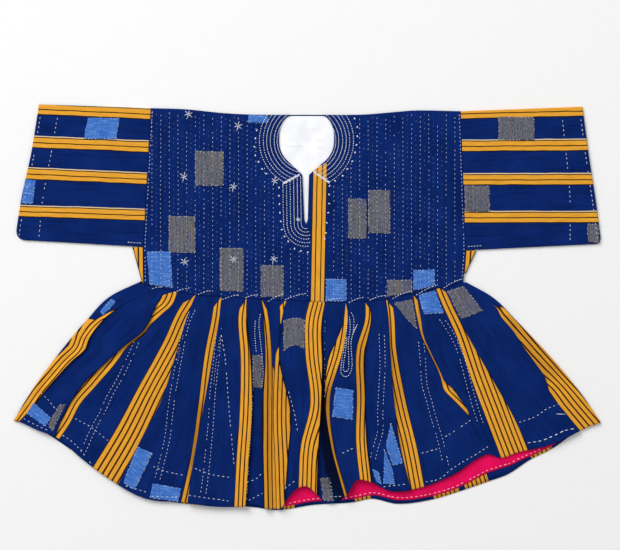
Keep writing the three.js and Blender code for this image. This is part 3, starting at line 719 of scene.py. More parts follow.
def buildBack():
    back = levelPanel(
        "cloth_body_back", lambda y: sideX("left", y), lambda y: sideX("right", y),
        shoulderY, waistY, 0.0, layers["clothWall"], 40, 70, indigoCotton, 0.15,
    )
    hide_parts("body_back")
    inset = 15.0  # the lining ends this far inside the seams
    lining = levelPanel(
        "cloth_back_lining",
        lambda y: sideX("left", y) + inset, lambda y: sideX("right", y) - inset,
        lambda x: shoulderY(x) - lerp(3.0, inset, smooth((np.abs(x) - 70) / 8)),
        lambda x: waistY(x) + inset,
        liningFloor, layers["liningWall"], 130, 220, whiteCotton, 0.9, liningCreases,
    )
    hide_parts("back_lining")


buildBack()
print("back made")


# Quilted front with its keyhole neck
neck = {
    "x": -2.75,
    "y": 365.2,
    "radius": 60.5,
    "upper": 62.0,
    "squareness": 2.8,
    "mouth": 24.0,
    "taperAngle": 0.747,
    "slitTopY": 290.4,
    "slitTop": (-12.0, 2.75),
    "slitFootY": 191.4,
    "slitFoot": (-7.6, 0.1),
    "slitTip": (-3.85, 182.6),
    "rows": 110,
    "columns": 140,
}
# The band down the middle: its centre at the top and the foot, and the line along which it is cut off
centreBand = {
    "topX": 26.4,
    "topY": 279.4,
    "footX": 21.6,
    "footY": 33.0,
    "slant": ((11.1, 303.6), (39.3, 315.7)),
}


def neckEdge(side, y):
    # The hole's edge at a height: a squarer curve above its middle, a circle below it, then straight
    # lines down the slit
    sign = -1 if side == 0 else 1
    square = neck["squareness"]
    upper = neck["radius"] * (1 - np.clip((y - neck["y"]) / neck["upper"], 0, 1) ** square) ** (1 / square)
    lower = np.sqrt(np.maximum(neck["radius"] ** 2 - (y - neck["y"]) ** 2, neck["mouth"] ** 2))
    circle = neck["x"] + sign * np.maximum(np.where(y > neck["y"], upper, lower), neck["mouth"])
    taperY = neck["y"] - neck["radius"] * math.sin(neck["taperAngle"])
    taperX = neck["x"] + sign * neck["radius"] * math.cos(neck["taperAngle"])
    slit = np.interp(
        y,
        [neck["slitTip"][1], neck["slitFootY"], neck["slitTopY"], taperY],
        [neck["slitTip"][0], neck["slitFoot"][side], neck["slitTop"][side], taperX],
    )
    return np.where(y > taperY, circle, slit)


def shoulderDip(x, y):
    # The front sinks towards the shoulder's edge, but not beside the neck
    clearOfNeck = smooth((np.abs(x) - 80) / 30)
    return layers["edgeDip"] * clearOfNeck * (1 - smooth((shoulderY(x) - y) / 12))


def quiltHeight(x, y):
    # Between two stitch rows the cloth rises as a rounded rib, pinched a little at every stitch
    drop = shoulderY(x) - y
    first, last = body["quiltEnds"]
    quilted = smooth((x - first) / 4) * smooth((last - x) / 4)
    phase = x / body["quiltPitch"]
    rib = np.abs(np.sin(math.pi * phase)) ** 0.8
    pinch = 0.8 + 0.2 * np.sin(2 * math.pi * y / 10.4 + 2.4 * np.floor(phase))
    slack = 0.35 * np.sin(x / 47 + 1.2) * np.sin(y / 39) + 0.25 * np.sin(x / 23 - y / 61)
    rise = body["quiltRise"] * rib * pinch * quilted * np.clip(drop / 20, 0, 1)
    return frontTop - shoulderDip(x, y) + rise + 0.5 * (slack + 0.6) * np.clip(drop / 30, 0, 1)


def buildFront():
    rows, columns = neck["rows"], neck["columns"]
    even = np.linspace(0, 1, rows)
    down = (0.35 * even ** 2 + 0.65 * even)[:, None]  # closer rows at the shoulder edge
    across = np.linspace(0, 1, columns)[None, :]
    halves = []
    for side in (0, 1):
        y = lerp(body["neckY"], body["footY"], down) * np.ones_like(across)
        for _ in range(4):
            edge = neckEdge(side, y)
            if side == 0:
                x = lerp(sideX("left", y), edge, across)
            else:
                x = lerp(edge, sideX("right", y), across)
            y = lerp(shoulderY(x), waistY(x) + layers["waistGap"] / 2, down)
        halves.append(np.stack([x, y], axis=-1))
    # Below the slit's tip the two halves share one column of points
    plan = np.concatenate(halves, axis=1)
    index = np.arange(rows * columns * 2).reshape(rows, columns * 2)
    shared = plan[:, columns - 1, 1] <= neck["slitTip"][1]
    index[shared, columns] = index[shared, columns - 1]
    plan[shared, columns] = plan[shared, columns - 1]
    faces = np.vstack([quads(index[:, :columns]), quads(index[:, columns:])])
    x, y = plan[..., 0], plan[..., 1]
    upper = pointsAt(x, y, quiltHeight(x, y))
    lower = pointsAt(x, y, frontFloor - shoulderDip(x, y))
    up = (y - centreBand["footY"]) / (centreBand["topY"] - centreBand["footY"])
    centre = lerp(centreBand["footX"], centreBand["topX"], up)
    (x0, y0), (x1, y1) = centreBand["slant"]
    above = y - lerp(y0, y1, (x - x0) / (x1 - x0))
    front = addPanel(
        "cloth_body_front", upper, lower, faces, bodyCotton, plan,
        {"bandPos": x - centre, "bandStart": above},
    )
    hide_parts("body_front")
    raiseRelief(upper[:, :columns], 3, 2)
    raiseRelief(upper[:, columns:], 3, 2)


buildFront()
print("front made")


# Sleeves: flattened tubes with their striped bands
sleeveShape = {
    "left": {
        "topIn": (-344.5, 437),
        "topOut": (-590.2, 445.5),
        "lowIn": (-361, 132),
        "lowOut": (-637, 148),
        "bandsIn": (0.035, 0.273, 0.504, 0.765),
        "bandsOut": (0.028, 0.273, 0.506, 0.782),
        "bulge": 6.5,
        "corner": 20.0,
        "rowInsets": (45.0, 41.0, 44.0),
    },
    "right": {
        "topIn": (336, 430.3),
        "topOut": (603.4, 440.4),
        "lowIn": (347, 124.5),
        "lowOut": (642.5, 139),
        "bandsIn": (0.01, 0.244, 0.485, 0.757),
        "bandsOut": (0.023, 0.274, 0.524, 0.799),
        "bulge": 2.5,
        "corner": 11.0,
        "rowInsets": (47.0, 50.0, 61.0),
    },
    "loft": 1.8,
    "cuffPinch": 0.8,
    "lengthCells": 96,
    "topCells": 84,
    "turnCells": 10,
    "underCells": 24,
}


# Creases of the sleeves, in fractions of their length and depth: from, to, half width and height in mm
sleeveCreases = {
    "left": [((0.05, 0.9), (0.6, 0.62), 0.03, 1.3), ((0.02, 0.75), (0.42, 0.5), 0.025, -0.8),
             ((0.3, 0.12), (0.85, 0.2), 0.03, 0.9), ((0.45, 0.95), (0.9, 0.8), 0.025, 0.8)],
    "right": [((0.05, 0.88), (0.55, 0.66), 0.03, 1.2), ((0.08, 0.6), (0.6, 0.38), 0.025, -0.8),
              ((0.35, 0.15), (0.9, 0.1), 0.03, 0.9), ((0.5, 0.9), (0.95, 0.72), 0.03, 0.9)],
}


def sleeveSlack(along, down, side):
    # Long low swells in the cloth, fading out at the fold edges
    phase = 0.7 if side == "left" else 2.1
    swell = np.sin(5.2 * along + 4.1 * down + phase) + 0.7 * np.sin(9.5 * down - 3.0 * along + 2 * phase)
    swell = 0.55 * (swell + 1.2)
    creases = creaseHeight(along, down, sleeveCreases[side])
    return (swell + np.maximum(creases, -swell)) * np.sin(math.pi * np.clip(down, 0, 1)) ** 0.7


def bandPlace(down, drop, centres):
    # Straight lines through each band's centre, one millimetre to one, and spacing between the centres
    knots = []
    values = []
    for i, centre in enumerate(centres):
        for reach in sleeveBand["reach"]:
            knots.append(centre * drop + reach)
            values.append(i * sleeveBand["spacing"] + reach)
    knots = [knots[0] - 20, *knots, knots[-1] + 60]
    values = [values[0] - 20, *values, values[-1] + 30]
    return np.interp(down * drop, knots, values)


def sleeveCorners(sizes):
    # Both ends of the fold at the shoulder and of the one under the arm
    return (np.array(sizes[key], float) for key in ("topIn", "topOut", "lowIn", "lowOut"))


def bandCentres(sizes, along):
    # In fractions of the sleeve's depth there
    return lerp(np.array(sizes["bandsIn"]), np.array(sizes["bandsOut"]), along)


def cuffBulge(sizes, along, down):
    # The cuff's lower half stands a little further out
    return sizes["bulge"] * smooth((along - 0.6) / 0.4) * smooth((down - 0.3) / 0.45)


def buildSleeve(side):
    sizes = sleeveShape[side]
    along = np.linspace(0, 1, sleeveShape["lengthCells"] + 1)[:, None]
    topIn, topOut, lowIn, lowOut = sleeveCorners(sizes)
    top, low = lerp(topIn, topOut, along), lerp(lowIn, lowOut, along)
    drop = np.linalg.norm(low - top, axis=1, keepdims=True)
    unit = (low - top) / drop
    outward = np.sign(topOut[0])
    length = np.linalg.norm(topOut - topIn)
    turn = np.linspace(0, math.pi, sleeveShape["turnCells"] + 1)[1:-1]
    downTop = np.linspace(0, 1, sleeveShape["topCells"] + 1)
    downUnder = np.linspace(1, 0, sleeveShape["underCells"] + 1)

    def ring(shrink):
        # Round each section: along the top, round the lower fold, back underneath and round the upper one
        radius = foldRadius - shrink
        inside = drop - 2 * foldRadius
        loft = sleeveShape["loft"] * np.sin(math.pi * downTop)
        loft = loft * (sleeveShape["cuffPinch"] * np.sin(math.pi * along) + 0.2 * along)
        fade = np.sin(math.pi * np.minimum(along, 0.92)) ** 0.5
        rise = loft + sleeveSlack(along, downTop, side) * fade
        parts = [
            (foldRadius + inside * downTop, foldRadius + radius + rise),
            (drop - foldRadius + radius * np.sin(turn), foldRadius + radius * np.cos(turn)),
            (foldRadius + inside * downUnder, foldRadius - radius),
            (foldRadius - radius * np.sin(turn) + 0 * drop, foldRadius - radius * np.cos(turn)),
        ]
        run = np.concatenate([part[0] for part in parts], axis=1)
        height = np.concatenate([np.broadcast_to(part[1], part[0].shape) for part in parts], axis=1)
        # The cuff's lower corner is part of a circle
        cornerRadius = sizes["corner"]
        into = np.maximum(cornerRadius - (1 - along) * length, 0)
        corner = cornerRadius - np.sqrt(np.maximum(cornerRadius ** 2 - into ** 2, 0))
        run = np.where(run > drop / 2, run - corner * smooth(run / drop * 3 - 2), run)
        x = top[:, :1] + unit[:, :1] * run + outward * cuffBulge(sizes, along, run / drop)
        y = top[:, 1:] + unit[:, 1:] * run
        x[0] += outward * layers["seamGap"]
        return pointsAt(x, y, height), run

    outer, run = ring(0)
    inner, _ = ring(layers["clothWall"])
    place = np.stack([
        bandPlace(run[i] / drop[i], drop[i, 0], bandCentres(sizes, along[i]))
        for i in range(len(along))
    ])
    uv = np.stack(np.broadcast_arrays(lengthsAlong(outer[0]), along * length), axis=-1)
    piece = addPanel(
        "cloth_sleeve_" + side, outer, inner, gridFaces(*run.shape, wrapped=True),
        sleeveCotton, uv, {"bandPos": place},
    )
    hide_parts("sleeve_" + side)
    raiseRelief(outer[:, :len(downTop)], 3, 3)


for sleeveSide in ("left", "right"):
    buildSleeve(sleeveSide)
print("sleeves made")


# Gussets under the arms
gussetShape = {
    "left": {"side": -1, "topY": 131.1, "footY": 51.6, "topWidth": 24.0, "footWidth": 3.6},
    "right": {"side": 1, "topY": 123.4, "footY": 74.0, "topWidth": 23.0, "footWidth": 3.6},
    "rows": 26,
    "turnCells": 14,
    "flatCells": 7,
}


def buildGusset(name):
    sizes = gussetShape[name]
    down = np.linspace(0, 1, gussetShape["rows"])[:, None]
    y = lerp(sizes["topY"], sizes["footY"], down)
    width = lerp(sizes["topWidth"], sizes["footWidth"], down)
    start = sideX(name, y) + sizes["side"] * layers["seamGap"]
    turn = np.linspace(0, math.pi, gussetShape["turnCells"])[None, :]
    flat = np.linspace(0, 1, gussetShape["flatCells"] + 1)[None, :-1]

    def section(shrink):
        # Level from the side seam, round the outer fold and back underneath
        radius = foldRadius - shrink
        level = np.maximum(width - foldRadius, 0.6)
        reach = np.concatenate([flat * level, level + radius * np.sin(turn), flat[:, ::-1] * level], axis=1)
        height = np.concatenate([
            foldRadius + radius + 0 * flat,
            foldRadius + radius * np.cos(turn),
            foldRadius - radius + 0 * flat,
        ], axis=1)
        return pointsAt(start + sizes["side"] * reach, y, height), reach

    outer, reach = section(0)
    inner, _ = section(layers["clothWall"])
    uv = np.stack([reach, outer[..., 1]], axis=-1)
    piece = addPanel(
        "cloth_gusset_" + name, outer, inner, gridFaces(*reach.shape), skirtCotton, uv,
        {
            "bandPos": reach * 0.86,
            "bandShow": np.full_like(reach, farFromBand),
            "bandRoll": width - reach - 0.9,
        },
    )
    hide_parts("gusset_" + name)


for gussetSide in ("left", "right"):
    buildGusset(gussetSide)
print("gussets made")


# Skirt. Tables as the part's source has them: levels run from the waist, 0, to the hem, 1
skirt = {
    "levels": [0, 0.1, 0.27, 0.55, 0.78, 1],
    "left": {"x": [-366, -430, -483, -554, -605, -646], "hem": -249, "lift": [1, 2, 1]},
    "right": {"x": [348, 403, 457, 538, 597, 644], "hem": -253, "lift": [1, 2, 1]},
    "drop": layers["skirtBase"] - (backTop + layers["seamGap"] + layers["clothWall"] / 2),
    "rollLength": 4.0,
    "rollOverlap": 1.8,
    "edgeSteps": [(0.0, -1, 0), (1.0, -0.75, 0), (2.0, -0.3, 0), (3.2, 0, 0.55), (4.5, 0, 1)],
    "leastBand": 5.0,
    "waistShare": 0.1,
    "waistRun": 0.13,
    "shown": ([0, 0.05, 1], [0.12, 1, 1]),
    "rows": 120,
    "rollCells": 9,
    "bandCells": 4,
    "panelCells": 7,
}
# A fold's shade is the painted shade, by level, that browns its band where it lies in the fold
folds = [
    {"side": 1, "levels": [0, 0.1, 0.17, 0.243, 0.358, 0.46, 0.55, 0.66, 0.78, 0.9, 1],
     "x": [-333, -395, -427, -457, -485, -498, -526, -555, -585, -611, -636],
     "w": [1, 1, 3, 16, 19, 20, 17, 15, 14, 11, 5],
     "edge": [1, 2, 1], "near": [2, 8, 2], "far": [2, 2, 2], "hem": -251, "panelHem": -270,
     "shown": ([0, 0.14, 0.15, 1], [0, 0, 1, 1]), "outside": ([0.24, 0.3, 0.6, 1], [0, 24, 20, 14])},
    {"side": -1, "levels": [0, 0.087, 0.153, 0.22, 0.287, 0.38, 0.486, 0.63, 0.753, 0.886, 1],
     "x": [-299, -314, -330, -346, -361, -399, -431, -476, -508, -531, -550],
     "w": [27, 33, 20, 7, 5.5, 7, 19, 28, 22, 21, 11],
     "edge": [3, 3, 3], "near": [1, 1, 1], "far": [7, 9, 6], "hem": -287, "panelHem": -332,
     "point": "woven", "shown": ([0, 0.035, 1], [0.3, 1, 1])},
    {"side": 1, "x": [-254, -274, -300, -347, -395, -444], "w": [16, 25, 33, 55, 53, 57],
     "edge": [3, 3, 3], "near": [1, 2, 2], "far": [9, 8, 5], "hem": -372, "panelHem": -420},
    {"side": 1, "x": [-197, -202, -216, -235.5, -253, -271], "w": [16, 18, 20, 13.5, 9, 16],
     "edge": [3, 3, 3], "near": [1, 1, 1], "far": [8, 9, 8], "hem": -429, "panelHem": -437,
     "shade": ([0.45, 0.55, 0.8, 0.9], [0, 0.3, 0.3, 0])},
    {"side": 1, "x": [-141, -143.5, -137, -136, -143, -149], "w": [13, 19, 22, 28, 28, 26],
     "edge": [4, 5, 6], "near": [5, 8, 10], "far": [2, 0, 0], "hem": -438, "panelHem": -435},
    {"side": -1, "x": [-97, -91, -86, -89, -88, -86], "w": [9, 12, 14, 20, 18, 18],
     "edge": [3, 2, 1], "near": [6, 9, 10], "far": [2, 0, 0], "hem": -443, "panelHem": -443,
     "outside": ([0.3, 0.4, 1], [0, 14, 24]), "shade": ([0.1, 0.3, 0.6, 0.9], [0, 0.3, 0.25, 0.12])},
    {"side": 1, "x": [-55, -60, -67, -57, -58, -60], "w": [16, 4, 8, 38, 28, 18],
     "edge": [3, 2, 1], "near": [6, 9, 10], "far": [3, 5, 6], "hem": -442, "panelHem": -403,
     "shown": ([0, 0.03, 0.11, 0.12, 0.22, 0.26], [0.2, 1, 0.5, 0, 0, 1]),
     "shade": ([0.25, 0.35, 0.6, 0.9], [0, 0.2, 0.1, 0.1])},
    {"side": 1, "x": [20.5, 12.5, 13, 17, 3.5, -0.5], "w": [35, 37, 38, 24, 39, 41],
     "edge": [3, 5, 7], "near": [5, 10, 12], "far": [3, 1, 0], "hem": -393, "panelHem": -431,
     "shown": ([0, 1], [1, 1])},
    {"side": -1, "levels": [0, 0.1, 0.2, 0.27, 0.38, 0.45, 0.55, 0.65, 0.78, 0.9, 1],
     "x": [86, 83, 72, 62, 50, 45, 44, 48, 58, 72, 84], "w": [5, 10, 20, 27, 22, 14, 9, 6, 4.5, 4.5, 5],
     "edge": [5, 10, 12], "near": [5, 12, 15], "far": [3, 1, 0], "hem": -414, "panelHem": -381,
     "shade": ([0.36, 0.46, 0.6, 1], [0, 0.5, 0.45, 0.35])},
    {"side": 1, "x": [131, 132, 116.5, 116.5, 117, 126], "w": [10, 14, 20, 19, 24, 26],
     "edge": [5, 8, 13], "near": [5, 8, 14], "far": [3, 4, 6], "hem": -379, "panelHem": -404,
     "point": "woven", "shade": ([0.1, 0.3, 0.5, 0.8], [0, 0.3, 0.3, 0])},
    {"side": -1, "x": [179, 183.5, 187.5, 202.5, 221, 241], "w": [14, 15, 15, 27, 36, 31],
     "edge": [3, 4, 4], "near": [1, 2, 2], "far": [6, 8, 6], "hem": -398, "panelHem": -369,
     "shade": ([0.15, 0.3, 0.5, 0.7], [0, 0.25, 0.25, 0])},
    {"side": 1, "levels": [0, 0.1, 0.27, 0.376, 0.5, 0.545, 0.6, 0.64, 0.71, 0.78, 1],
     "x": [235, 241.5, 253, 270, 291, 297, 311, 322, 343, 359, 395],
     "w": [9, 11, 6, 5, 6, 8, 24, 19, 12, 1, 1],
     "edge": [2, 2, 4], "near": [1, 1, 4], "far": [7, 9, 5], "hem": -323, "panelHem": -332,
     "point": "woven", "shown": ([0, 0.05, 0.74, 0.77, 1], [0.12, 1, 1, 0, 0])},
    {"side": 1, "x": [290, 306.5, 336, 382, 421.5, 455], "w": [18, 21, 23, 43, 57, 62],
     "edge": [2, 2, 1], "near": [1, 2, 2], "far": [8, 7, 4], "hem": -321, "panelHem": -301,
     "point": "woven", "shown": ([0, 0.03, 1], [0.6, 1, 1])},
    {"side": -1, "levels": [0, 0.1, 0.14, 0.22, 0.315, 0.41, 0.52, 0.626, 0.76, 0.87, 1],
     "x": [318, 385, 409.5, 428, 453.7, 476, 503.6, 530, 556.5, 585, 619],
     "w": [1, 2, 3, 8, 8, 14, 18, 24, 45, 44, 45],
     "edge": [1, 2, 1], "near": [1, 2, 1], "far": [2, 7, 5], "hem": -262, "panelHem": -258,
     "shown": ([0, 0.13, 0.14, 1], [0, 0, 1, 1]),
     "outside": ([0.16, 0.22, 0.4, 0.7, 1], [0, 16, 22, 20, 14]),
     "shade": ([0.2, 0.3, 0.6, 0.7], [0, 0.22, 0.22, 0])},
]


def bandAt(fold, levels):
    # Where a band lies at each level: its rolled edge, its width, what shows of it, counted from the
    # rolled edge, and how far it slants, since a level cuts a slanting band wider than it is
    knots = fold.get("levels", skirt["levels"])
    width = np.maximum(through(knots, fold["w"], levels), 0.5)
    middle = through(knots, fold["x"], levels)
    slope = np.gradient(middle, levels * (waistY(0) + 400))
    share = np.interp(levels, *fold.get("shown", skirt["shown"]))
    byWoven = fold.get("point") == "woven"
    shown = width * (1 if byWoven else share) + np.interp(levels, *fold.get("outside", ([0], [0])))
    return {
        "side": fold["side"],
        "width": width,
        "roll": middle + fold["side"] * width / 2,
        "shown": np.where(share > 0.01, shown, -farFromBand),
        "hidden": width * (1 - share) if byWoven else np.full_like(width, -farFromBand),
        "upright": 1 / np.sqrt(1 + slope ** 2),
        # painted shade of the band where it lies in its fold
        "shade": np.interp(levels, *fold.get("shade", ([0], [0]))),
    }


def bandValues(x, bands):
    # At a station: how far inside the shown band it is, its place from the woven edge, its distance from
    # the rolled edge, and its painted fold shade. Of two bands the one that shows more counts
    best = [np.full_like(x, start) for start in (-farFromBand, 0.0, farFromBand, 0.0)]
    for band in bands:
        inward = -band["side"] * (x - band["roll"])
        thin = 10 / np.clip(band["shown"], 3.5, 10)  # a narrow band's dark edges are finer
        here = [
            np.minimum(band["shown"] - inward, inward - band["hidden"]) * band["upright"] * thin,
            (band["width"] - inward) * band["upright"],
            inward * band["upright"] * thin,
            band["shade"],
        ]
        more = here[0] > best[0]
        best = [np.where(more, new, old) for new, old in zip(here, best)]
    return best


def skirtSections(levels):
    # Across each level: a rounded side edge, then a flat band and its rolled edge for every fold, with a
    # panel easing from one to the next. Gives x, the height over the base, and the band's four values
    def heightOf(values):
        settled = lerp(skirt["waistShare"], 1, smooth(levels / skirt["waistRun"]))
        return np.maximum(through([0, 0.5, 1], values, levels), 0) * settled

    def edgeOf(side, inward, bands):
        x = through(skirt["levels"], skirt[side]["x"], levels)
        lift = heightOf(skirt[side]["lift"])
        # Each step: how far in, and its shares of the drop to the back and of the lift
        return [
            (x + inward * far, skirt["drop"] * down + lift * up, bands)
            for far, down, up in skirt["edgeSteps"]
        ]

    bands = [bandAt(fold, levels) for fold in folds]
    # A band's woven edge faces the panel beside it, and its place runs on over that panel
    towardsRight = [[band] if band["side"] < 0 else [] for band in bands]
    towardsLeft = [[band] if band["side"] > 0 else [] for band in bands]
    groups = [edgeOf("left", 1, towardsLeft[0])]
    for fold, band in zip(folds, bands):
        side, roll, width = band["side"], band["roll"], band["width"]
        near, far, flat = heightOf(fold["near"]), heightOf(fold["far"]), heightOf(fold["edge"])
        before, after = (near, far) if side > 0 else (far, near)
        overlap = np.minimum(skirt["rollOverlap"], np.abs(near - far) / 6)
        turn = []
        for s in np.linspace(0, 1, skirt["rollCells"] + 1):
            x = roll + overlap * math.sin(2 * math.pi * s) + skirt["rollLength"] * (s - 0.5)
            onBand = s < 0.5 if side > 0 else s > 0.5
            turn.append((x, lerp(before, after, float(smooth(s))), [band] if onBand else []))
        start = roll - side * np.maximum(width, skirt["leastBand"])
        end = roll - side * skirt["rollLength"] / 2
        flats = []
        for f in np.linspace(0, 1, skirt["bandCells"] + 1)[:-1]:
            crown = 0.5 * math.sin(math.pi * f) * np.minimum(width / 20, 1)
            flats.append((lerp(start, end, f), lerp(flat, near, f) + crown, [band]))
        groups.append(flats + turn if side > 0 else turn + flats[::-1])
    groups.append(edgeOf("right", -1, towardsRight[-1])[::-1])
    stations = []
    for i, group in enumerate(groups):
        if i > 0:
            fromX, fromHeight, _ = groups[i - 1][-1]
            toX, toHeight, _ = group[0]
            beside = towardsRight[i - 2] if i > 1 else []
            beside = beside + (towardsLeft[i - 1] if i <= len(bands) else [])
            for t in np.linspace(0, 1, skirt["panelCells"] + 1)[1:-1]:
                height = lerp(fromHeight, toHeight, float(smooth(t)))
                stations.append((lerp(fromX, toX, t), height, beside))
        stations.extend(group)
    values = [bandValues(x, owners) for x, _, owners in stations]
    place = [np.stack([value[k] for value in values], axis=1) for k in range(4)]
    x, height = (np.stack([station[k] for station in stations], axis=1) for k in (0, 1))
    return x, height, dict(zip(("bandShow", "bandPos", "bandRoll", "bandShade"), place))


def hemLine():
    # The front's hem runs through each band and the panel past it
    knots = [skirt["left"]["x"][-1]]
    heights = [skirt["left"]["hem"]]
    for i, fold in enumerate(folds):
        beyond = folds[i + 1]["x"][-1] if i + 1 < len(folds) else skirt["right"]["x"][-1]
        knots += [fold["x"][-1], (fold["x"][-1] + beyond) / 2]
        heights += [fold["hem"], fold["panelHem"]]
    knots.append(skirt["right"]["x"][-1])
    heights.append(skirt["right"]["hem"])
    return lambda x: through(knots, heights, x)


frontHemY = hemLine()


# Main creases: from, to, half width and height, a trough where the height is below nought
skirtCreases = [
    ((-352, 20), (-455, -120), 12, 1.6), ((-330, 8), (-352, -60), 7, -1.2),
    ((-390, -60), (-500, -215), 15, 1.5), ((-268, -10), (-345, -170), 11, -1.4),
    ((-285, -90), (-395, -300), 16, 1.8), ((-228, -5), (-262, -120), 8, 1.3),
    ((-245, -90), (-300, -360), 17, 2.2), ((-226, -120), (-262, -400), 10, -1.4),
    ((-178, -4), (-192, -110), 8, 1.5), ((-185, -90), (-205, -330), 14, 2.0),
    ((-166, -150), (-188, -420), 9, -1.3), ((-118, -12), (-116, -100), 6, 1.2),
    ((-24, -6), (-30, -150), 12, 1.8), ((-38, -130), (-20, -370), 10, -1.2),
    ((98, -12), (84, -160), 10, 1.6), ((88, -140), (84, -360), 13, 1.6),
    ((158, -2), (152, -150), 8, 1.5), ((150, -120), (166, -330), 12, -1.3),
    ((208, 0), (222, -110), 8, 1.6), ((226, -90), (262, -300), 15, 2.0),
    ((252, -150), (300, -330), 9, -1.3), ((262, 8), (284, -80), 8, 1.4),
    ((300, -60), (352, -230), 12, 1.7), ((330, 20), (392, -120), 11, 1.5),
    ((368, -20), (452, -170), 13, -1.2), ((420, -120), (520, -270), 14, 1.5),
]


def skirtSlack(x, y, levels):
    # Small gathers that die out below the waist seam, uneven swells, and the main creases
    gathers = 2.1 * np.sin(x / 4.6 + 1.3 * np.sin(x / 29)) * (0.7 + 0.3 * np.sin(x / 17))
    gathers = gathers * np.exp(-levels / 0.06) * smooth(levels / 0.012 + 0.35)
    swells = 0.7 * np.sin(x / 43 + y / 71) * np.sin(y / 58 - x / 97 + 0.6)
    return gathers + swells + creaseHeight(x, y, skirtCreases)


# The deep fold right of the middle band, where the cloth turns away from the light. Painted shade darkens
# the indigo and the patch there
deepFold = {
    "y": [-435, -400, -357, -315, -272, -229, -186, -109, -80],
    "left": [62, 50, 36, 31, 28.5, 27.5, 28.5, 31, 33],
    "right": [84, 78, 66, 59, 49, 43, 38, 37, 35],
    "strength": [0.7, 0.9, 1, 1, 1, 1, 0.9, 0.5, 0],
    "edge": 3.5,
}


def foldShadeAt(x, y):
    # Painted shade: full between the two sides, fading out over the edge's width
    keys = ("left", "right", "strength")
    left, right, strength = (np.interp(y, deepFold["y"], deepFold[key]) for key in keys)
    edge = deepFold["edge"]
    return strength * smooth((x - left + edge) / (2 * edge)) * smooth((right - x + edge) / (2 * edge))


def buildSkirtFront():
    even = np.linspace(0, 1, skirt["rows"])
    levels = 0.12 * even ** 2 + 0.88 * even
    x, height, bandNumbers = skirtSections(levels)
    start = waistY(x[0]) - layers["waistGap"] / 2
    y = lerp(start[None, :], frontHemY(x[-1])[None, :], levels[:, None])
    inside = smooth((x - x[:, :1]) / 12) * smooth((x[:, -1:] - x) / 12)
    height = height + np.maximum(skirtSlack(x, y, levels[:, None]) * inside, -0.6 - np.minimum(height, 0.6))
    middle = pointsAt(x, y, layers["skirtBase"] + height)
    halfWall = gridNormals(middle) * layers["clothWall"] / 2
    outer = middle + halfWall
    inner = middle - halfWall
    inner[..., 2] = np.maximum(inner[..., 2], layers["floorGap"])
    # Painted shade of the deep fold, which darkens the indigo there
    bandNumbers["foldShade"] = foldShadeAt(x, y)
    piece = addPanel(
        "cloth_skirt_front", outer, inner, gridFaces(*x.shape), skirtCotton, clothLengths(middle),
        bandNumbers,
    )
    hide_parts("skirt_front")
    raiseRelief(outer, 3, 5)
    print("skirt front", x.shape)


# The back's hem, from left to right, and the facing turned up inside it
backHem = {
    "x": [-640, -594, -498, -358, -270, -115, -64, 14, 104, 143, 198, 273, 333, 399, 442, 489, 540, 594,
          644],
    "y": [-250, -264, -325, -413, -432, -440, -446.5, -435, -429, -421.5, -432.5, -423.5, -405.7, -383,
          -367, -336, -310, -273, -253],
    "bands": [(-617, 13), (-505, 13), (-355, 13), (-251, 21), (-40, 13), (122.5, 18.5), (306.5, 28.5),
              (372.5, 26.5), (513, 24), (617, 22)],
    "rows": 40,
    "columns": 240,
}
facing = {
    "depth": 58.0,
    "sideInset": 0.03,
    "taper": 0.05,
    "wave": 0.45,
    "rowLift": 5.5,
    "margin": ([-640, 280, 320, 365, 390, 425, 460, 495, 640], [8, 8, 8, 15, 20, 20, 15, 7, 8]),
    "rows": 14,
    "columns": 260,
}


def backHemY(x):
    return through(backHem["x"], backHem["y"], x)


def buildSkirtBack():
    rows, columns = backHem["rows"], backHem["columns"]
    levels = np.linspace(0, 1, rows)[:, None]
    across = np.linspace(0, 1, columns)[None, :]
    left = through(skirt["levels"], skirt["left"]["x"], levels)
    right = through(skirt["levels"], skirt["right"]["x"], levels)
    topX = lerp(skirt["left"]["x"][0], skirt["right"]["x"][0], across)
    hemX = lerp(backHem["x"][0], backHem["x"][-1], across)
    x = lerp(left, right, across)
    y = lerp(waistY(topX) - layers["waistGap"] / 2, backHemY(hemX), levels)
    upper = pointsAt(x, y, backTop)
    lower = pointsAt(x, y, 0.0)
    # bandPos counts millimetres from each band's left edge at the hem, and drops well below nought between
    knots, values = [-700.0], [-farFromBand]
    for centre, half in backHem["bands"]:
        knots += [centre - half - 2, centre - half, centre + half, centre + half + 0.3]
        values += [-farFromBand, 0.0, 2 * half, -farFromBand]
    place = np.interp(hemX, knots + [700.0], values + [-farFromBand]) + 0 * levels
    piece = addPanel(
        "cloth_skirt_back", upper, lower, gridFaces(rows, columns), skirtCotton,
        np.stack([hemX + 0 * x, y], axis=-1),
        {"bandPos": place, "bandShow": place, "bandRoll": np.full_like(place, farFromBand)},
    )
    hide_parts("skirt_back")


def buildFacing():
    rows, columns = facing["rows"], facing["columns"]
    span = np.linspace(facing["sideInset"], 1 - facing["sideInset"], columns)[None, :]
    up = np.linspace(1, 0, rows)[:, None]
    low = lerp(backHem["x"][0], backHem["x"][-1], span)
    lowY = backHemY(low) + np.interp(low, *facing["margin"])
    x = lerp(low, low * (1 - facing["taper"] * np.abs(low) / backHem["x"][-1]), up)
    y = lowY + facing["depth"] * up
    wave = facing["wave"] * (1 + np.sin(low / 13 + 0.8 * np.sin(low / 51)))
    wave = wave * np.sin(math.pi * up * 0.9 + 0.1)
    floor = backTop + layers["seamGap"]
    upper = pointsAt(x, y, floor + layers["facingWall"] + wave)
    lower = pointsAt(x, y, floor + 0.6 * wave)
    piece = addPanel("cloth_hem_facing", upper, lower, gridFaces(rows, columns), pinkCotton, upper[..., :2])
    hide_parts("hem_facing")
    raiseRelief(upper, 3, 4)


buildSkirtBack()
buildFacing()
buildSkirtFront()
print("skirt made")


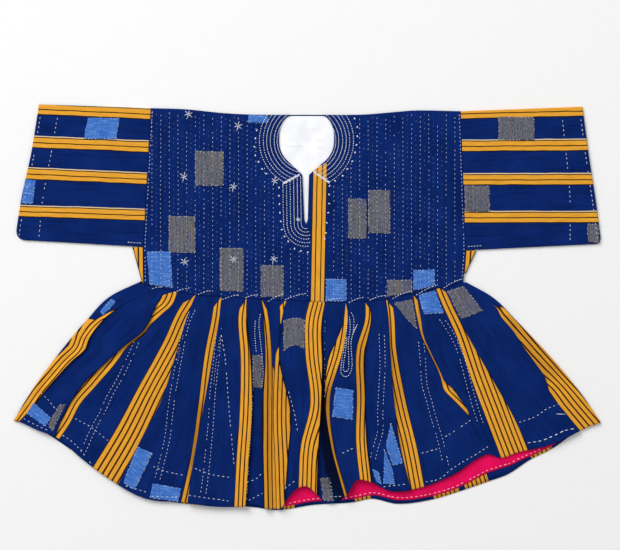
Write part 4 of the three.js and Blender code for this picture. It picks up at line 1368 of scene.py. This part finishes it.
# Patches. Corners run from the left top down and round to the right top
patches = {
    "sleeve_left_top": ("sleeve_left", "blue", [(-483, 416), (-491, 369.5), (-420, 368), (-413.5, 414.5)]),
    "sleeve_left_cuff": ("sleeve_left", "blue",
                         [(-619.5, 281), (-629.5, 227.5), (-604, 226.5), (-597, 278)]),
    "sleeve_right_top": ("sleeve_right", "grey", [(419, 418), (419, 368), (498, 366), (497, 417)]),
    "sleeve_right_seam": ("sleeve_right", "grey", [(344.5, 267), (345.5, 210), (400, 209), (399, 266)]),
    "sleeve_right_cuff": ("sleeve_right", "grey", [(613.5, 182.5), (615.5, 142), (641, 142.5), (638, 182)]),
    "shoulder": ("body_front", "blue", [(-131, 422), (-131, 405), (-87, 404), (-87, 420)]),
    "upper_left": ("body_front", "grey", [(-247, 343), (-247, 267), (-185, 266), (-185, 341)]),
    "middle_left": ("body_front", "grey", [(-305, 200), (-305, 120), (-247, 119), (-247, 199)]),
    "side_left": ("body_front", "blue", [(-353, 122), (-347, 50), (-297, 42), (-301, 122)]),
    "low_left": ("body_front", "grey", [(-193, 130), (-193, 36), (-141, 34), (-141, 129)]),
    "low_middle": ("body_front", "grey", [(-103, 92), (-103, 23), (-53, 22), (-53, 91)]),
    "upper_right": ("body_front", "grey", [(89, 238), (89, 151), (129, 150), (129, 237)]),
    "middle_right": ("body_front", "grey", [(133, 257), (133, 163), (181, 161), (181, 256)]),
    "low_centre": ("body_front", "blue", [(40, 62), (40, 12.5), (85, 13), (85, 61)]),
    "low_right": ("body_front", "grey", [(174, 59), (174, 22), (229, 34), (229, 60)]),
    "waist_right": ("body_front", "blue", [(232, 81), (232, 36), (279, 47), (279, 82)]),
    "skirt_left_edge": ("skirt_front", "blue", [(-430, 19), (-457, -10), (-449, -18), (-421, 10)]),
    "skirt_left_hem": ("skirt_front", "blue", [(-602, -209), (-616, -234), (-576, -262), (-563, -243)]),
    "skirt_left_fold": ("skirt_front", "grey", [(-546, -215), (-569, -258), (-560, -273), (-530, -212)]),
    "skirt_lower_left": ("skirt_front", "blue", [(-373, -306), (-404.5, -384), (-380, -402), (-340, -321)]),
    "skirt_hem_left": ("skirt_front", "blue",
                       [(-340.5, -386.5), (-346, -418.5), (-284, -427), (-277.5, -398)]),
    "skirt_pocket_left": ("skirt_front", "grey", [(-121, -106), (-120, -177), (-100, -177), (-101, -105)]),
    "skirt_centre": ("skirt_front", "grey", [(-53, -30), (-53, -97), (-8, -93), (-6, -28)], 5.0, 11.0),
    "skirt_valley": ("skirt_front", "grey", [(27, -375), (34, -424), (57, -427), (49, -375)]),
    "skirt_middle": ("skirt_front", "blue", [(61, -176), (54, -240), (99, -247), (100, -182)]),
    "skirt_low_strip": ("skirt_front", "blue", [(142, -354), (150, -383), (162, -390), (156, -361)]),
    "skirt_low_kite": ("skirt_front", "blue", [(182, -253), (171, -306), (187, -347), (209, -342)]),
    "skirt_low_tail": ("skirt_front", "blue", [(168, -311), (166, -387), (191, -389), (185, -353)]),
    "skirt_waist_grey": ("skirt_front", "grey", [(189, 9), (218, -27), (240, -49), (230, 17)]),
    "skirt_waist_blue": ("skirt_front", "blue", [(243, 27), (254, -15), (299, -13.5), (280, 36)]),
    "skirt_waist_right": ("skirt_front", "grey", [(306, 35), (335.5, -27), (384, -8), (343, 46)]),
}
patchCell = 2.6


def patchPlan(name, down, across):
    # Straight between the four corners; the top and foot may rise in a bow, by millimetres in their middle
    corners, *bows = patches[name][2:]
    leftTop, leftLow, rightLow, rightTop = (np.array(corner, float) for corner in corners)
    plan = lerp(lerp(leftTop, leftLow, down), lerp(rightTop, rightLow, down), across)
    if bows:
        rise = lerp(bows[0], bows[1], down) * 4 * across * (1 - across)
        plan = plan + rise * np.array([0.0, 1.0])
    return plan


def buildPatch(name, order):
    panel, tint, corners = patches[name][:3]
    leftTop, leftLow, rightLow, rightTop = (np.array(corner, float) for corner in corners)
    height = np.linalg.norm(leftTop - leftLow)
    width = np.linalg.norm(rightTop - leftTop)
    rows = int(max(height / patchCell, 4))
    columns = int(max(width / patchCell, 4))
    down = np.linspace(0, 1, rows)[:, None, None]
    across = np.linspace(0, 1, columns)[None, :, None]
    plan = patchPlan(name, down, across)
    # Hand-cut edges waver by up to half a millimetre
    waver = 0.5 * np.sin(plan[..., ::-1] / 6.3 + order) * (1 - 4 * across * (1 - across))
    plan = plan + waver
    x, y = plan[..., 0], plan[..., 1]
    ground = heightAt(x, y, highestAround(reliefHeight)) + layers["patchLift"]
    upper = pointsAt(x, y, ground + layers["patchWall"])
    lower = pointsAt(x, y, ground)
    # Each patch is cut from another part of its cloth
    place = (width * across[..., 0] + 211 * order, height * down[..., 0] + 157 * order)
    uv = np.stack(np.broadcast_arrays(*place), axis=-1)
    # A patch in the deep fold gets its painted shade too
    piece = addPanel("cloth_patch_" + name, upper, lower, gridFaces(rows, columns),
                     chambray if tint == "blue" else greyStripe, uv, {"foldShade": foldShadeAt(x, y)})
    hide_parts("patch_" + name)
    return upper


patchTops = [buildPatch(name, order) for order, name in enumerate(patches)]
for patchTop in patchTops:
    raiseRelief(patchTop, 3, 3)
print("patches made", len(patchTops))


# Hand stitching. Each stitch is a low arch of thread; a row is a path that they run along
stitchSizes = {
    "quilting": {"pitch": 10.2, "length": 3.2, "width": 0.95, "missing": 0.08},
    "pinprick": {"pitch": 10.2, "length": 1.3, "width": 0.52, "missing": 0.35},
    "neckSolid": {"pitch": 3.9, "length": 3.3, "width": 1.4, "missing": 0.0},
    "neckDotted": {"pitch": 5.4, "length": 3.1, "width": 1.7, "missing": 0.0},
    "dot": {"pitch": 18.0, "length": 4.5, "width": 3.1},
    "heavy": {"pitch": 4.2, "length": 4.4, "width": 1.75, "missing": 0.0},
    "running": {"pitch": 10.4, "length": 4.6, "width": 1.4, "missing": 0.04},
    "fine": {"pitch": 8.2, "length": 3.6, "width": 1.2, "missing": 0.08},
    "edging": {"pitch": 6.8, "length": 2.6, "width": 0.9, "missing": 0.3},
    "bold": {"pitch": 12.5, "length": 7.2, "width": 2.0, "missing": 0.0},
    "scallop": {"pitch": 6.4, "length": 4.2, "width": 1.5, "missing": 0.0},
    "whip": {"pitch": 7.0, "length": 3.6, "width": 0.85, "missing": 0.35},
    "ray": {"width": 1.5},
}
unevenness = np.random.default_rng(11)
threads = {"body": [], "neck": [], "sleeves": [], "skirt": [], "patches": [], "facing": []}


def smoothPath(points, count=60):
    # A cubic through the points, by their order
    points = np.asarray(points, float)
    knots = np.arange(len(points))
    at = np.linspace(0, len(points) - 1, count)
    return np.stack([through(knots, points[:, i], at) for i in (0, 1)], axis=-1)


def arc(centre, radius, fromAngle, toAngle, count=60):
    angle = np.radians(np.linspace(fromAngle, toAngle, count))
    return np.stack([centre[0] + radius * np.cos(angle), centre[1] + radius * np.sin(angle)], axis=-1)


# How far handwork strays: along its row in pitches, in length, aside in millimetres, and in width
strays = {"along": 0.07, "length": 0.16, "aside": 0.28, "width": 0.2}


def stitchPath(group, kind, path, keep=None, shift=0.3):
    # Running stitches along a path, each a little out of place, as a hand sews them
    size = stitchSizes[kind]
    path = np.asarray(path, float)
    run = lengthsAlong(path)
    begin = np.arange(size["pitch"] * shift, run[-1] - size["length"] * 0.6, size["pitch"])
    wobble = unevenness.uniform(-1, 1, (5, len(begin)))
    begin = begin + wobble[0] * size["pitch"] * strays["along"]
    finish = begin + size["length"] * (1 + strays["length"] * wobble[1])
    starts = placesAt(path, run, begin) + strays["aside"] * wobble[2:4].T
    ends = placesAt(path, run, finish) + strays["aside"] * wobble[3:5].T
    kept = unevenness.uniform(0, 1, len(starts)) >= size["missing"]
    if keep is not None:
        kept &= keep((starts + ends) / 2)
    widths = size["width"] * (1 + strays["width"] * wobble[4])
    threads[group].append((starts[kept], ends[kept], widths[kept]))


def stitchPairs(group, kind, starts, ends):
    starts = np.asarray(starts, float).reshape(-1, 2)
    ends = np.asarray(ends, float).reshape(-1, 2)
    threads[group].append((starts, ends, np.full(len(starts), stitchSizes[kind]["width"])))


def sewThreads(name, group):
    # Three rings of four points for each stitch: full in the middle, thin and low at both ends. Only
    # stitches that lie on cloth are kept
    starts, ends, widths = (np.concatenate([rows[k] for rows in threads[group]]) for k in range(3))
    onCloth = np.minimum(*(heightAt(place[:, 0], place[:, 1]) for place in (starts, ends))) > backTop
    starts, ends, widths = starts[onCloth], ends[onCloth], widths[onCloth]
    count = len(starts)
    run = ends - starts
    unit = run / np.maximum(np.linalg.norm(run, axis=1, keepdims=True), 1e-6)
    aside = np.stack([-unit[:, 1], unit[:, 0]], axis=-1)
    along = np.array([0.0, 0.5, 1.0])[None, :, None]
    fullness = np.array([0.5, 1.0, 0.5])[None, :, None]
    sideways = np.array([1.0, 0.0, -1.0, 0.0])[None, None, :]
    upwards = np.array([0.0, 1.0, 0.0, -1.0])[None, None, :]
    radius = (widths / 2)[:, None, None]
    middle = starts[:, None, None, :] + run[:, None, None, :] * along[..., None]
    plan = middle + aside[:, None, None, :] * (radius * fullness * sideways)[..., None]
    ground = heightAt(middle[..., 0], middle[..., 1])
    height = ground + layers["threadLift"] + radius * (0.75 * fullness * upwards + 0.5 * (fullness - 0.5))
    points = pointsAt(plan[..., 0], plan[..., 1], height)
    ring = np.arange(4)
    after = (ring + 1) % 4
    side = np.stack([ring, after, 4 + after, 4 + ring], axis=-1)
    one = np.vstack([side, side + 4, [[3, 2, 1, 0], [8, 9, 10, 11]]])
    faces = (one[None] + 12 * np.arange(count)[:, None, None]).reshape(-1, 4)
    piece = addMesh(name, points.reshape(-1, 3), faces, thread)
    print(name, count, "stitches")


# Quilting of the body: a row of running stitches in each valley, and pinpricks of thread between two rows
slitFoot = (-4.3, 182.0)
quilting = {
    "holeRadius": 108,
    "slitReach": 58,
    "slitTopY": 285,
    "bandX": 25,
    "bandReach": 19,
    "topInset": 7,
    "footInset": 3,
    "sideInset": 3.5,
    "waver": 0.5,
}


def clearOfNeckwork(places):
    # Away from the embroidery round the hole and the slit, and off the striped band
    x, y = places[:, 0], places[:, 1]
    hole = np.hypot(x - neck["x"], y - neck["y"]) > quilting["holeRadius"]
    reach = quilting["slitReach"]
    besideSlit = (np.abs(x - slitFoot[0]) > reach) | (y > quilting["slitTopY"]) | (y < slitFoot[1])
    belowSlit = (np.hypot(x - slitFoot[0], y - slitFoot[1]) > reach) | (y > slitFoot[1])
    band = np.abs(x - quilting["bandX"]) > quilting["bandReach"]
    return hole & besideSlit & belowSlit & band


def sewBody():
    pitch = body["quiltPitch"]
    first, last = body["quiltEnds"]
    columns = np.arange(math.ceil(first / pitch), math.floor(last / pitch) + 1) * pitch
    for i, x in enumerate(columns):
        top = float(shoulderY(x)) - quilting["topInset"]
        foot = float(waistY(x)) + quilting["footInset"]
        waver = quilting["waver"] * math.sin(1.7 * i)
        stitchPath("body", "quilting", [(x + waver, top), (x - waver, (top + foot) / 2), (x + waver, foot)],
                   clearOfNeckwork, 0.2 + 0.5 * (i % 2))
        if x + pitch < last:
            middle = x + pitch / 2
            foot = float(waistY(middle)) + quilting["footInset"]
            stitchPath("body", "pinprick", [(middle, top), (middle, foot)],
                       clearOfNeckwork, 0.6 - 0.5 * (i % 2))
    for side, inward in (("left", 1), ("right", -1)):
        y = np.linspace(body[side]["shoulderY"] - 5, float(waistY(body[side]["waist"])) + 6, 50)
        x = sideX(side, y) + inward * quilting["sideInset"]
        stitchPath("body", "fine", np.stack([x, y], axis=-1))


# Embroidery of the neck: rows round the hole from the shoulder down to two heavy lines, rows down the
# slit's left side and round its foot, a ring of dots outside both, and small stars over the chest. The
# ends are angles in degrees by the row's radius, and the tops heights by its distance from the slit
neckwork = {
    "solidRadii": (64.5, 71.0, 79.5, 87.5),
    "dottedRadii": (95.0, 103.4),
    "slitReach": (10.0, 17.4, 25.3, 33.2, 41.1, 48.8),
    "heavyLeft": ((-17, 291), (-55, 271)),
    "heavyRight": ((13, 297), (48, 273)),
    "heavyGap": 1.7,
    "topY": 424,
    "leftEnds": ((76, 108), (258.5, 242.5)),
    "rightEnds": ((71, 105), (-78.5, -62.5)),
    "slitTops": ((10, 49), (288.0, 271.0)),
    "dots": [(-112, 388), (-115, 370), (-117, 352), (-115, 333), (-108, 319), (-100, 303), (-91, 293),
             (103, 414), (109, 395), (109, 375), (107, 356), (104, 339), (98, 320), (87, 303), (77, 288),
             (60, 277), (48, 266), (47, 247), (47, 227), (45, 207), (42, 185), (40, 163), (37, 150),
             (-63, 262), (-63, 244), (-62, 226), (-61, 207), (-59, 188), (-57, 170), (-51, 155),
             (-43, 144), (-29, 128), (-15, 123), (0, 120)],
    "stars": [(-262, 424), (-153, 398), (-272, 286), (-163, 264), (-73, 277), (-271, 99), (-163, 105),
              (-75, 106)],
    "smallStars": [(-21, 192)],
    "starReach": 10.5,
}


def sewNeck():
    # Rows round the hole run from the shoulder's edge to the heavy lines, which cut a wider row off sooner
    centre = (neck["x"], neck["y"])
    for radii, kind in ((neckwork["solidRadii"], "neckSolid"), (neckwork["dottedRadii"], "neckDotted")):
        for radius in radii:
            start = math.degrees(math.asin(min((neckwork["topY"] - centre[1]) / radius, 1)))
            leftEnd = onLine(*neckwork["leftEnds"], radius)
            rightEnd = onLine(*neckwork["rightEnds"], radius)
            stitchPath("neck", kind, arc(centre, radius, 180 - start, leftEnd))
            stitchPath("neck", kind, arc(centre, radius, start, rightEnd))
    for key in ("heavyLeft", "heavyRight"):
        line = np.array(neckwork[key], float)
        for side in (-1, 0, 1):
            stitchPath("neck", "heavy", line + [[0, side * neckwork["heavyGap"]]], shift=0.1)
    for i, reach in enumerate(neckwork["slitReach"]):
        top = onLine(*neckwork["slitTops"], reach)
        left = slitFoot[0] - reach
        turn = arc(slitFoot, reach, 180, 270 + 12 + 4 * (5 - i))
        kind = "neckSolid" if i < 3 else "neckDotted"
        stitchPath("neck", kind, np.vstack([[(left - 1.5, top)], turn]), lambda places: places[:, 0] < 6)
    dots = np.array(neckwork["dots"], float)
    reach = stitchSizes["dot"]["length"] / 2
    turned = unevenness.uniform(0, math.pi, len(dots))
    way = np.stack([np.cos(turned), np.sin(turned)], axis=-1) * reach
    stitchPairs("neck", "dot", dots - way, dots + way)
    angles = np.arange(6) * math.pi / 3 + 0.3
    rays = np.stack([np.cos(angles), np.sin(angles)], axis=-1)[None]
    for key, reach in (("stars", neckwork["starReach"]), ("smallStars", neckwork["starReach"] / 2)):
        stars = np.array(neckwork[key], float)[:, None, :]
        uneven = reach * unevenness.uniform(0.65, 1.15, (len(stars), len(angles), 1))
        stitchPairs("neck", "ray", stars + rays * 0.4, stars + rays * uneven)


def onPlainCloth(sizes, top, foot, along):
    # Whether places on a row down the sleeve, from top to foot, lie clear of its bands
    drop = np.linalg.norm(foot - top)
    unit = (foot - top) / drop
    centres = bandCentres(sizes, along) * drop + 1.4

    def isPlain(places):
        run = (places - top) @ unit
        return np.min(np.abs(run[:, None] - centres[None, :]), axis=1) > sleeveBand["clear"]

    return isPlain


def sewSleeves():
    # Two rows inside each cuff on the plain cloth only, and one at the underarm
    down = np.linspace(0.015, 0.985, 80)[:, None]
    for side, outward in (("left", -1), ("right", 1)):
        sizes = sleeveShape[side]
        topIn, topOut, lowIn, lowOut = sleeveCorners(sizes)
        for insets in ((7.0, 7.0, 7.0), sizes["rowInsets"]):
            along = 1 - through([0, 0.6, 1], insets, down) / np.linalg.norm(topOut - topIn)
            top, foot = lerp(topIn, topOut, along), lerp(lowIn, lowOut, along)
            path = lerp(top, foot, down) + cuffBulge(sizes, along, down) * [outward, 0]
            plain = onPlainCloth(sizes, top[40], foot[40], float(along[40, 0]))
            stitchPath("sleeves", "running", path, plain)
        stitchPath("sleeves", "scallop", [lowIn + [outward * 3, 8.5], lowIn + [outward * 38, 10.5]])


# Stitching of the skirt: dashes that climb from each band's top, rows down the folds, two rows above the
# hem, and the curved mouths of the two pockets
skirtwork = {
    "scallops": [
        ((-342, 40), (-316, 44)), ((-294, 31), (-260, 42)), ((-242, 27), (-212, 36)),
        ((-188, 16), (-151, 27)), ((-138, 20), (-107, 27)), ((-88, 12), (-51, 29)), ((-51, 16), (1, 31)),
        ((25, 9), (75, 20)), ((89, 9), (124, 22)), ((135, 15), (174, 26)), ((185, 18), (227, 35)),
        ((238, 26), (282, 48)), ((298, 42), (339, 62)),
    ],
    "doubleRows": [
        [(-375, -75), (-394, -118), (-415, -161), (-435, -195), (-450, -229), (-471, -268), (-493, -318)],
        [(-251, -2), (-268, -45), (-286, -135), (-295, -186), (-301, -229), (-309, -293), (-330, -379)],
        [(-195, -58), (-201, -122), (-208, -186), (-212, -250), (-218, -315), (-225, -379), (-229, -410)],
        [(162, -58), (164, -122), (162, -169), (159, -229), (159, -272), (147, -315), (142, -338)],
        [(249, -75), (253, -122), (256, -169), (268, -212), (277, -246), (289, -285), (299, -328),
         (304, -350)],
        [(294, -26), (313, -54), (332, -92), (345, -135), (356, -178), (368, -221), (379, -254)],
    ],
    "doubleGap": 11.5,
    "singleRows": [
        [(-189.5, -58), (-180, -122), (-172.4, -225), (-160.8, -353)],
        [(-43, -182), (-30, -230), (-21.7, -276)],
    ],
    "edgings": [
        [(-120, -180), (-123, -238), (-133.8, -421)], [(-188.6, -45), (-201.4, -126), (-205.7, -169)],
        [(-259, -15), (-276, -75), (-286, -126)], [(325.6, -71), (357.6, -144), (391.9, -242)],
        [(38, -30), (37, -120), (37, -200)],
    ],
    "pockets": [
        [(-115, -29), (-116, -60), (-113, -101)],
        [(-104, -15), (-107, -40), (-103, -80), (-99, -120), (-98, -156), (-101, -178)],
        [(94.5, -11), (101, -24), (100, -54), (95, -75), (96, -101), (97, -131), (90, -149), (81, -152),
         (73, -143), (75, -114), (82, -75), (86, -41), (87, -17)],
        [(91.5, -20), (93, -49), (89, -79), (90, -114), (89, -135), (82, -142), (78, -131), (82, -101),
         (86, -67)],
    ],
    "loose": [
        ((109, -37), (97, -62)), ((545, -234), (565, -235)),
    ],
    "hemRows": [
        [(-624, -244), (-608, -253), (-591, -261), (-565, -272)],
        [(-539.5, -280), (-514, -298), (-494.6, -319), (-473, -347)], [(-400, -392), (-349, -407)],
        [(-343.5, -415), (-283, -417.5)], [(-261, -412), (-215, -419), (-171.5, -425)],
        [(-131, -425), (-99, -409)], [(-51, -398), (-28, -381)],
        [(-586.6, -187), (-569.5, -203.5), (-552, -225)],
        [(-512, -244), (-484, -259), (-467, -270), (-439, -292.5)],
        [(-340.5, -349), (-313, -360), (-268, -370)], [(-248.5, -353), (-210, -367), (-165, -374)],
        [(-135, -383), (-116, -379), (-99, -364)], [(47, -416.5), (80, -416)],
        [(64.6, -325), (82, -317), (101, -308)], [(165, -394), (216.5, -388)],
        [(257, -384), (289, -377), (313, -357.5), (343, -338), (366, -325), (395, -306)],
        [(248.6, -321), (289, -310)], [(300, -285.6), (323.4, -271), (357.6, -248.4)],
        [(462.5, -253.5), (499, -240), (524.5, -223), (554.5, -211)],
    ],
    "boldRows": [
        [(480, -298), (512, -293), (542, -281), (563, -271), (591, -265)],
    ],
}


def sewSkirt():
    for low, high in skirtwork["scallops"]:
        bend = ((low[0] + high[0]) / 2, (low[1] + high[1]) / 2 + 2.0)
        stitchPath("skirt", "scallop", smoothPath([low, bend, high]), shift=0.1)
    for row in skirtwork["doubleRows"]:
        path = smoothPath(row)
        for side in (-1, 1):
            aside = [[side * skirtwork["doubleGap"] / 2, 0]]
            stitchPath("skirt", "fine", path + aside, shift=0.3 + 0.2 * side)
    for row in skirtwork["singleRows"]:
        stitchPath("skirt", "running", smoothPath(row))
    kinds = {"pockets": "neckDotted", "edgings": "edging", "hemRows": "running", "boldRows": "bold"}
    for key, kind in kinds.items():
        for row in skirtwork[key]:
            stitchPath("skirt", kind, smoothPath(row), shift=0.15)
    for start, end in skirtwork["loose"]:
        stitchPairs("skirt", "ray", [start], [end])


def sewFacing():
    # One row along the facing's lower edge, where it shows past the front's hem
    x = np.linspace(-610, 610, 400)
    y = backHemY(x) + np.interp(x, *facing["margin"]) + facing["rowLift"]

    def shows(places):
        return places[:, 1] < frontHemY(places[:, 0]) - 3

    stitchPath("facing", "running", np.stack([x, y], axis=-1), shows)


def sewPatches():
    # Slanting whip stitches over each patch's edge, at uneven distances
    size = stitchSizes["whip"]
    at = np.linspace(0, 1, 40)[:, None]
    sides = [(at, 0.0), (1.0, at), (1 - at, 1.0), (0.0, 1 - at)]
    for name in patches:
        for down, across in sides:
            edge = patchPlan(name, down, across)
            run = lengthsAlong(edge)
            count = max(int(run[-1] / size["pitch"]), 1)
            places = (np.arange(count) + 0.5 + 0.3 * unevenness.uniform(-1, 1, count)) / count * run[-1]
            places = places[unevenness.uniform(0, 1, count) >= size["missing"]]
            unit = (edge[-1] - edge[0]) / np.linalg.norm(edge[-1] - edge[0])
            inward = np.array([-unit[1], unit[0]])
            slant = unevenness.uniform(0.3, 1.2, (len(places), 1))
            way = (np.cos(slant) * unit + np.sin(slant) * inward) * size["length"] / 2
            middle = placesAt(edge, run, places) + 0.5 * inward
            stitchPairs("patches", "whip", middle - way, middle + way)


sewBody()
sewNeck()
sewSleeves()
sewSkirt()
sewFacing()
sewPatches()
for group in threads:
    sewThreads("stitches_" + group, group)
print("stitches made")


# Camera straight above, as the photograph was taken
cameraView = {"centreX": 4.95, "centreY": 70.4, "frameWidth": 1364.0, "height": 3500.0, "sensor": 36.0}


def addCamera():
    camera = bpy.data.cameras.new("overhead")
    camera.sensor_width = cameraView["sensor"]
    camera.lens = cameraView["sensor"] * cameraView["height"] / cameraView["frameWidth"]
    camera.clip_end = 20
    holder = addObject("overhead", camera)
    holder.location = toFrame([cameraView["centreX"], cameraView["centreY"], cameraView["height"]])[0]
    bpy.context.scene.camera = holder


# Soft studio light: a large far panel towards the top left, a weaker one opposite, and an even fill
lights = {
    "key": {"place": (-3900, 5300, 5900), "size": 5.4, "power": 640.0},
    "fill": {"place": (3600, -2200, 5800), "size": 5.6, "power": 54.0},
    "world": 0.44,
    "floorSize": 14.0,
}


def addLights():
    for name in ("key", "fill"):
        settings = lights[name]
        light = bpy.data.lights.new(name, "AREA")
        light.shape = "SQUARE"
        light.size = settings["size"]
        light.energy = settings["power"]
        holder = addObject(name, light)
        holder.location = toFrame([settings["place"]])[0]
        holder.rotation_euler = (-holder.location).to_track_quat("-Z", "Y").to_euler()
    world = bpy.data.worlds.new("studio")
    world.use_nodes = True
    background = world.node_tree.nodes["Background"]
    background.inputs["Color"].default_value = (1, 1, 1, 1)
    background.inputs["Strength"].default_value = lights["world"]
    bpy.context.scene.world = world
    bpy.context.scene.view_settings.view_transform = "Standard"


def addFloor():
    half = lights["floorSize"] / 2
    mesh = bpy.data.meshes.new("studio_floor")
    corners = [(-half, -half, 0), (half, -half, 0), (half, half, 0), (-half, half, 0)]
    mesh.from_pydata(corners, [], [(0, 1, 2, 3)])
    mesh.materials.append(studioPaper)
    addObject("studio_floor", mesh)


addCamera()
addLights()
addFloor()
print("camera, lights and floor made")
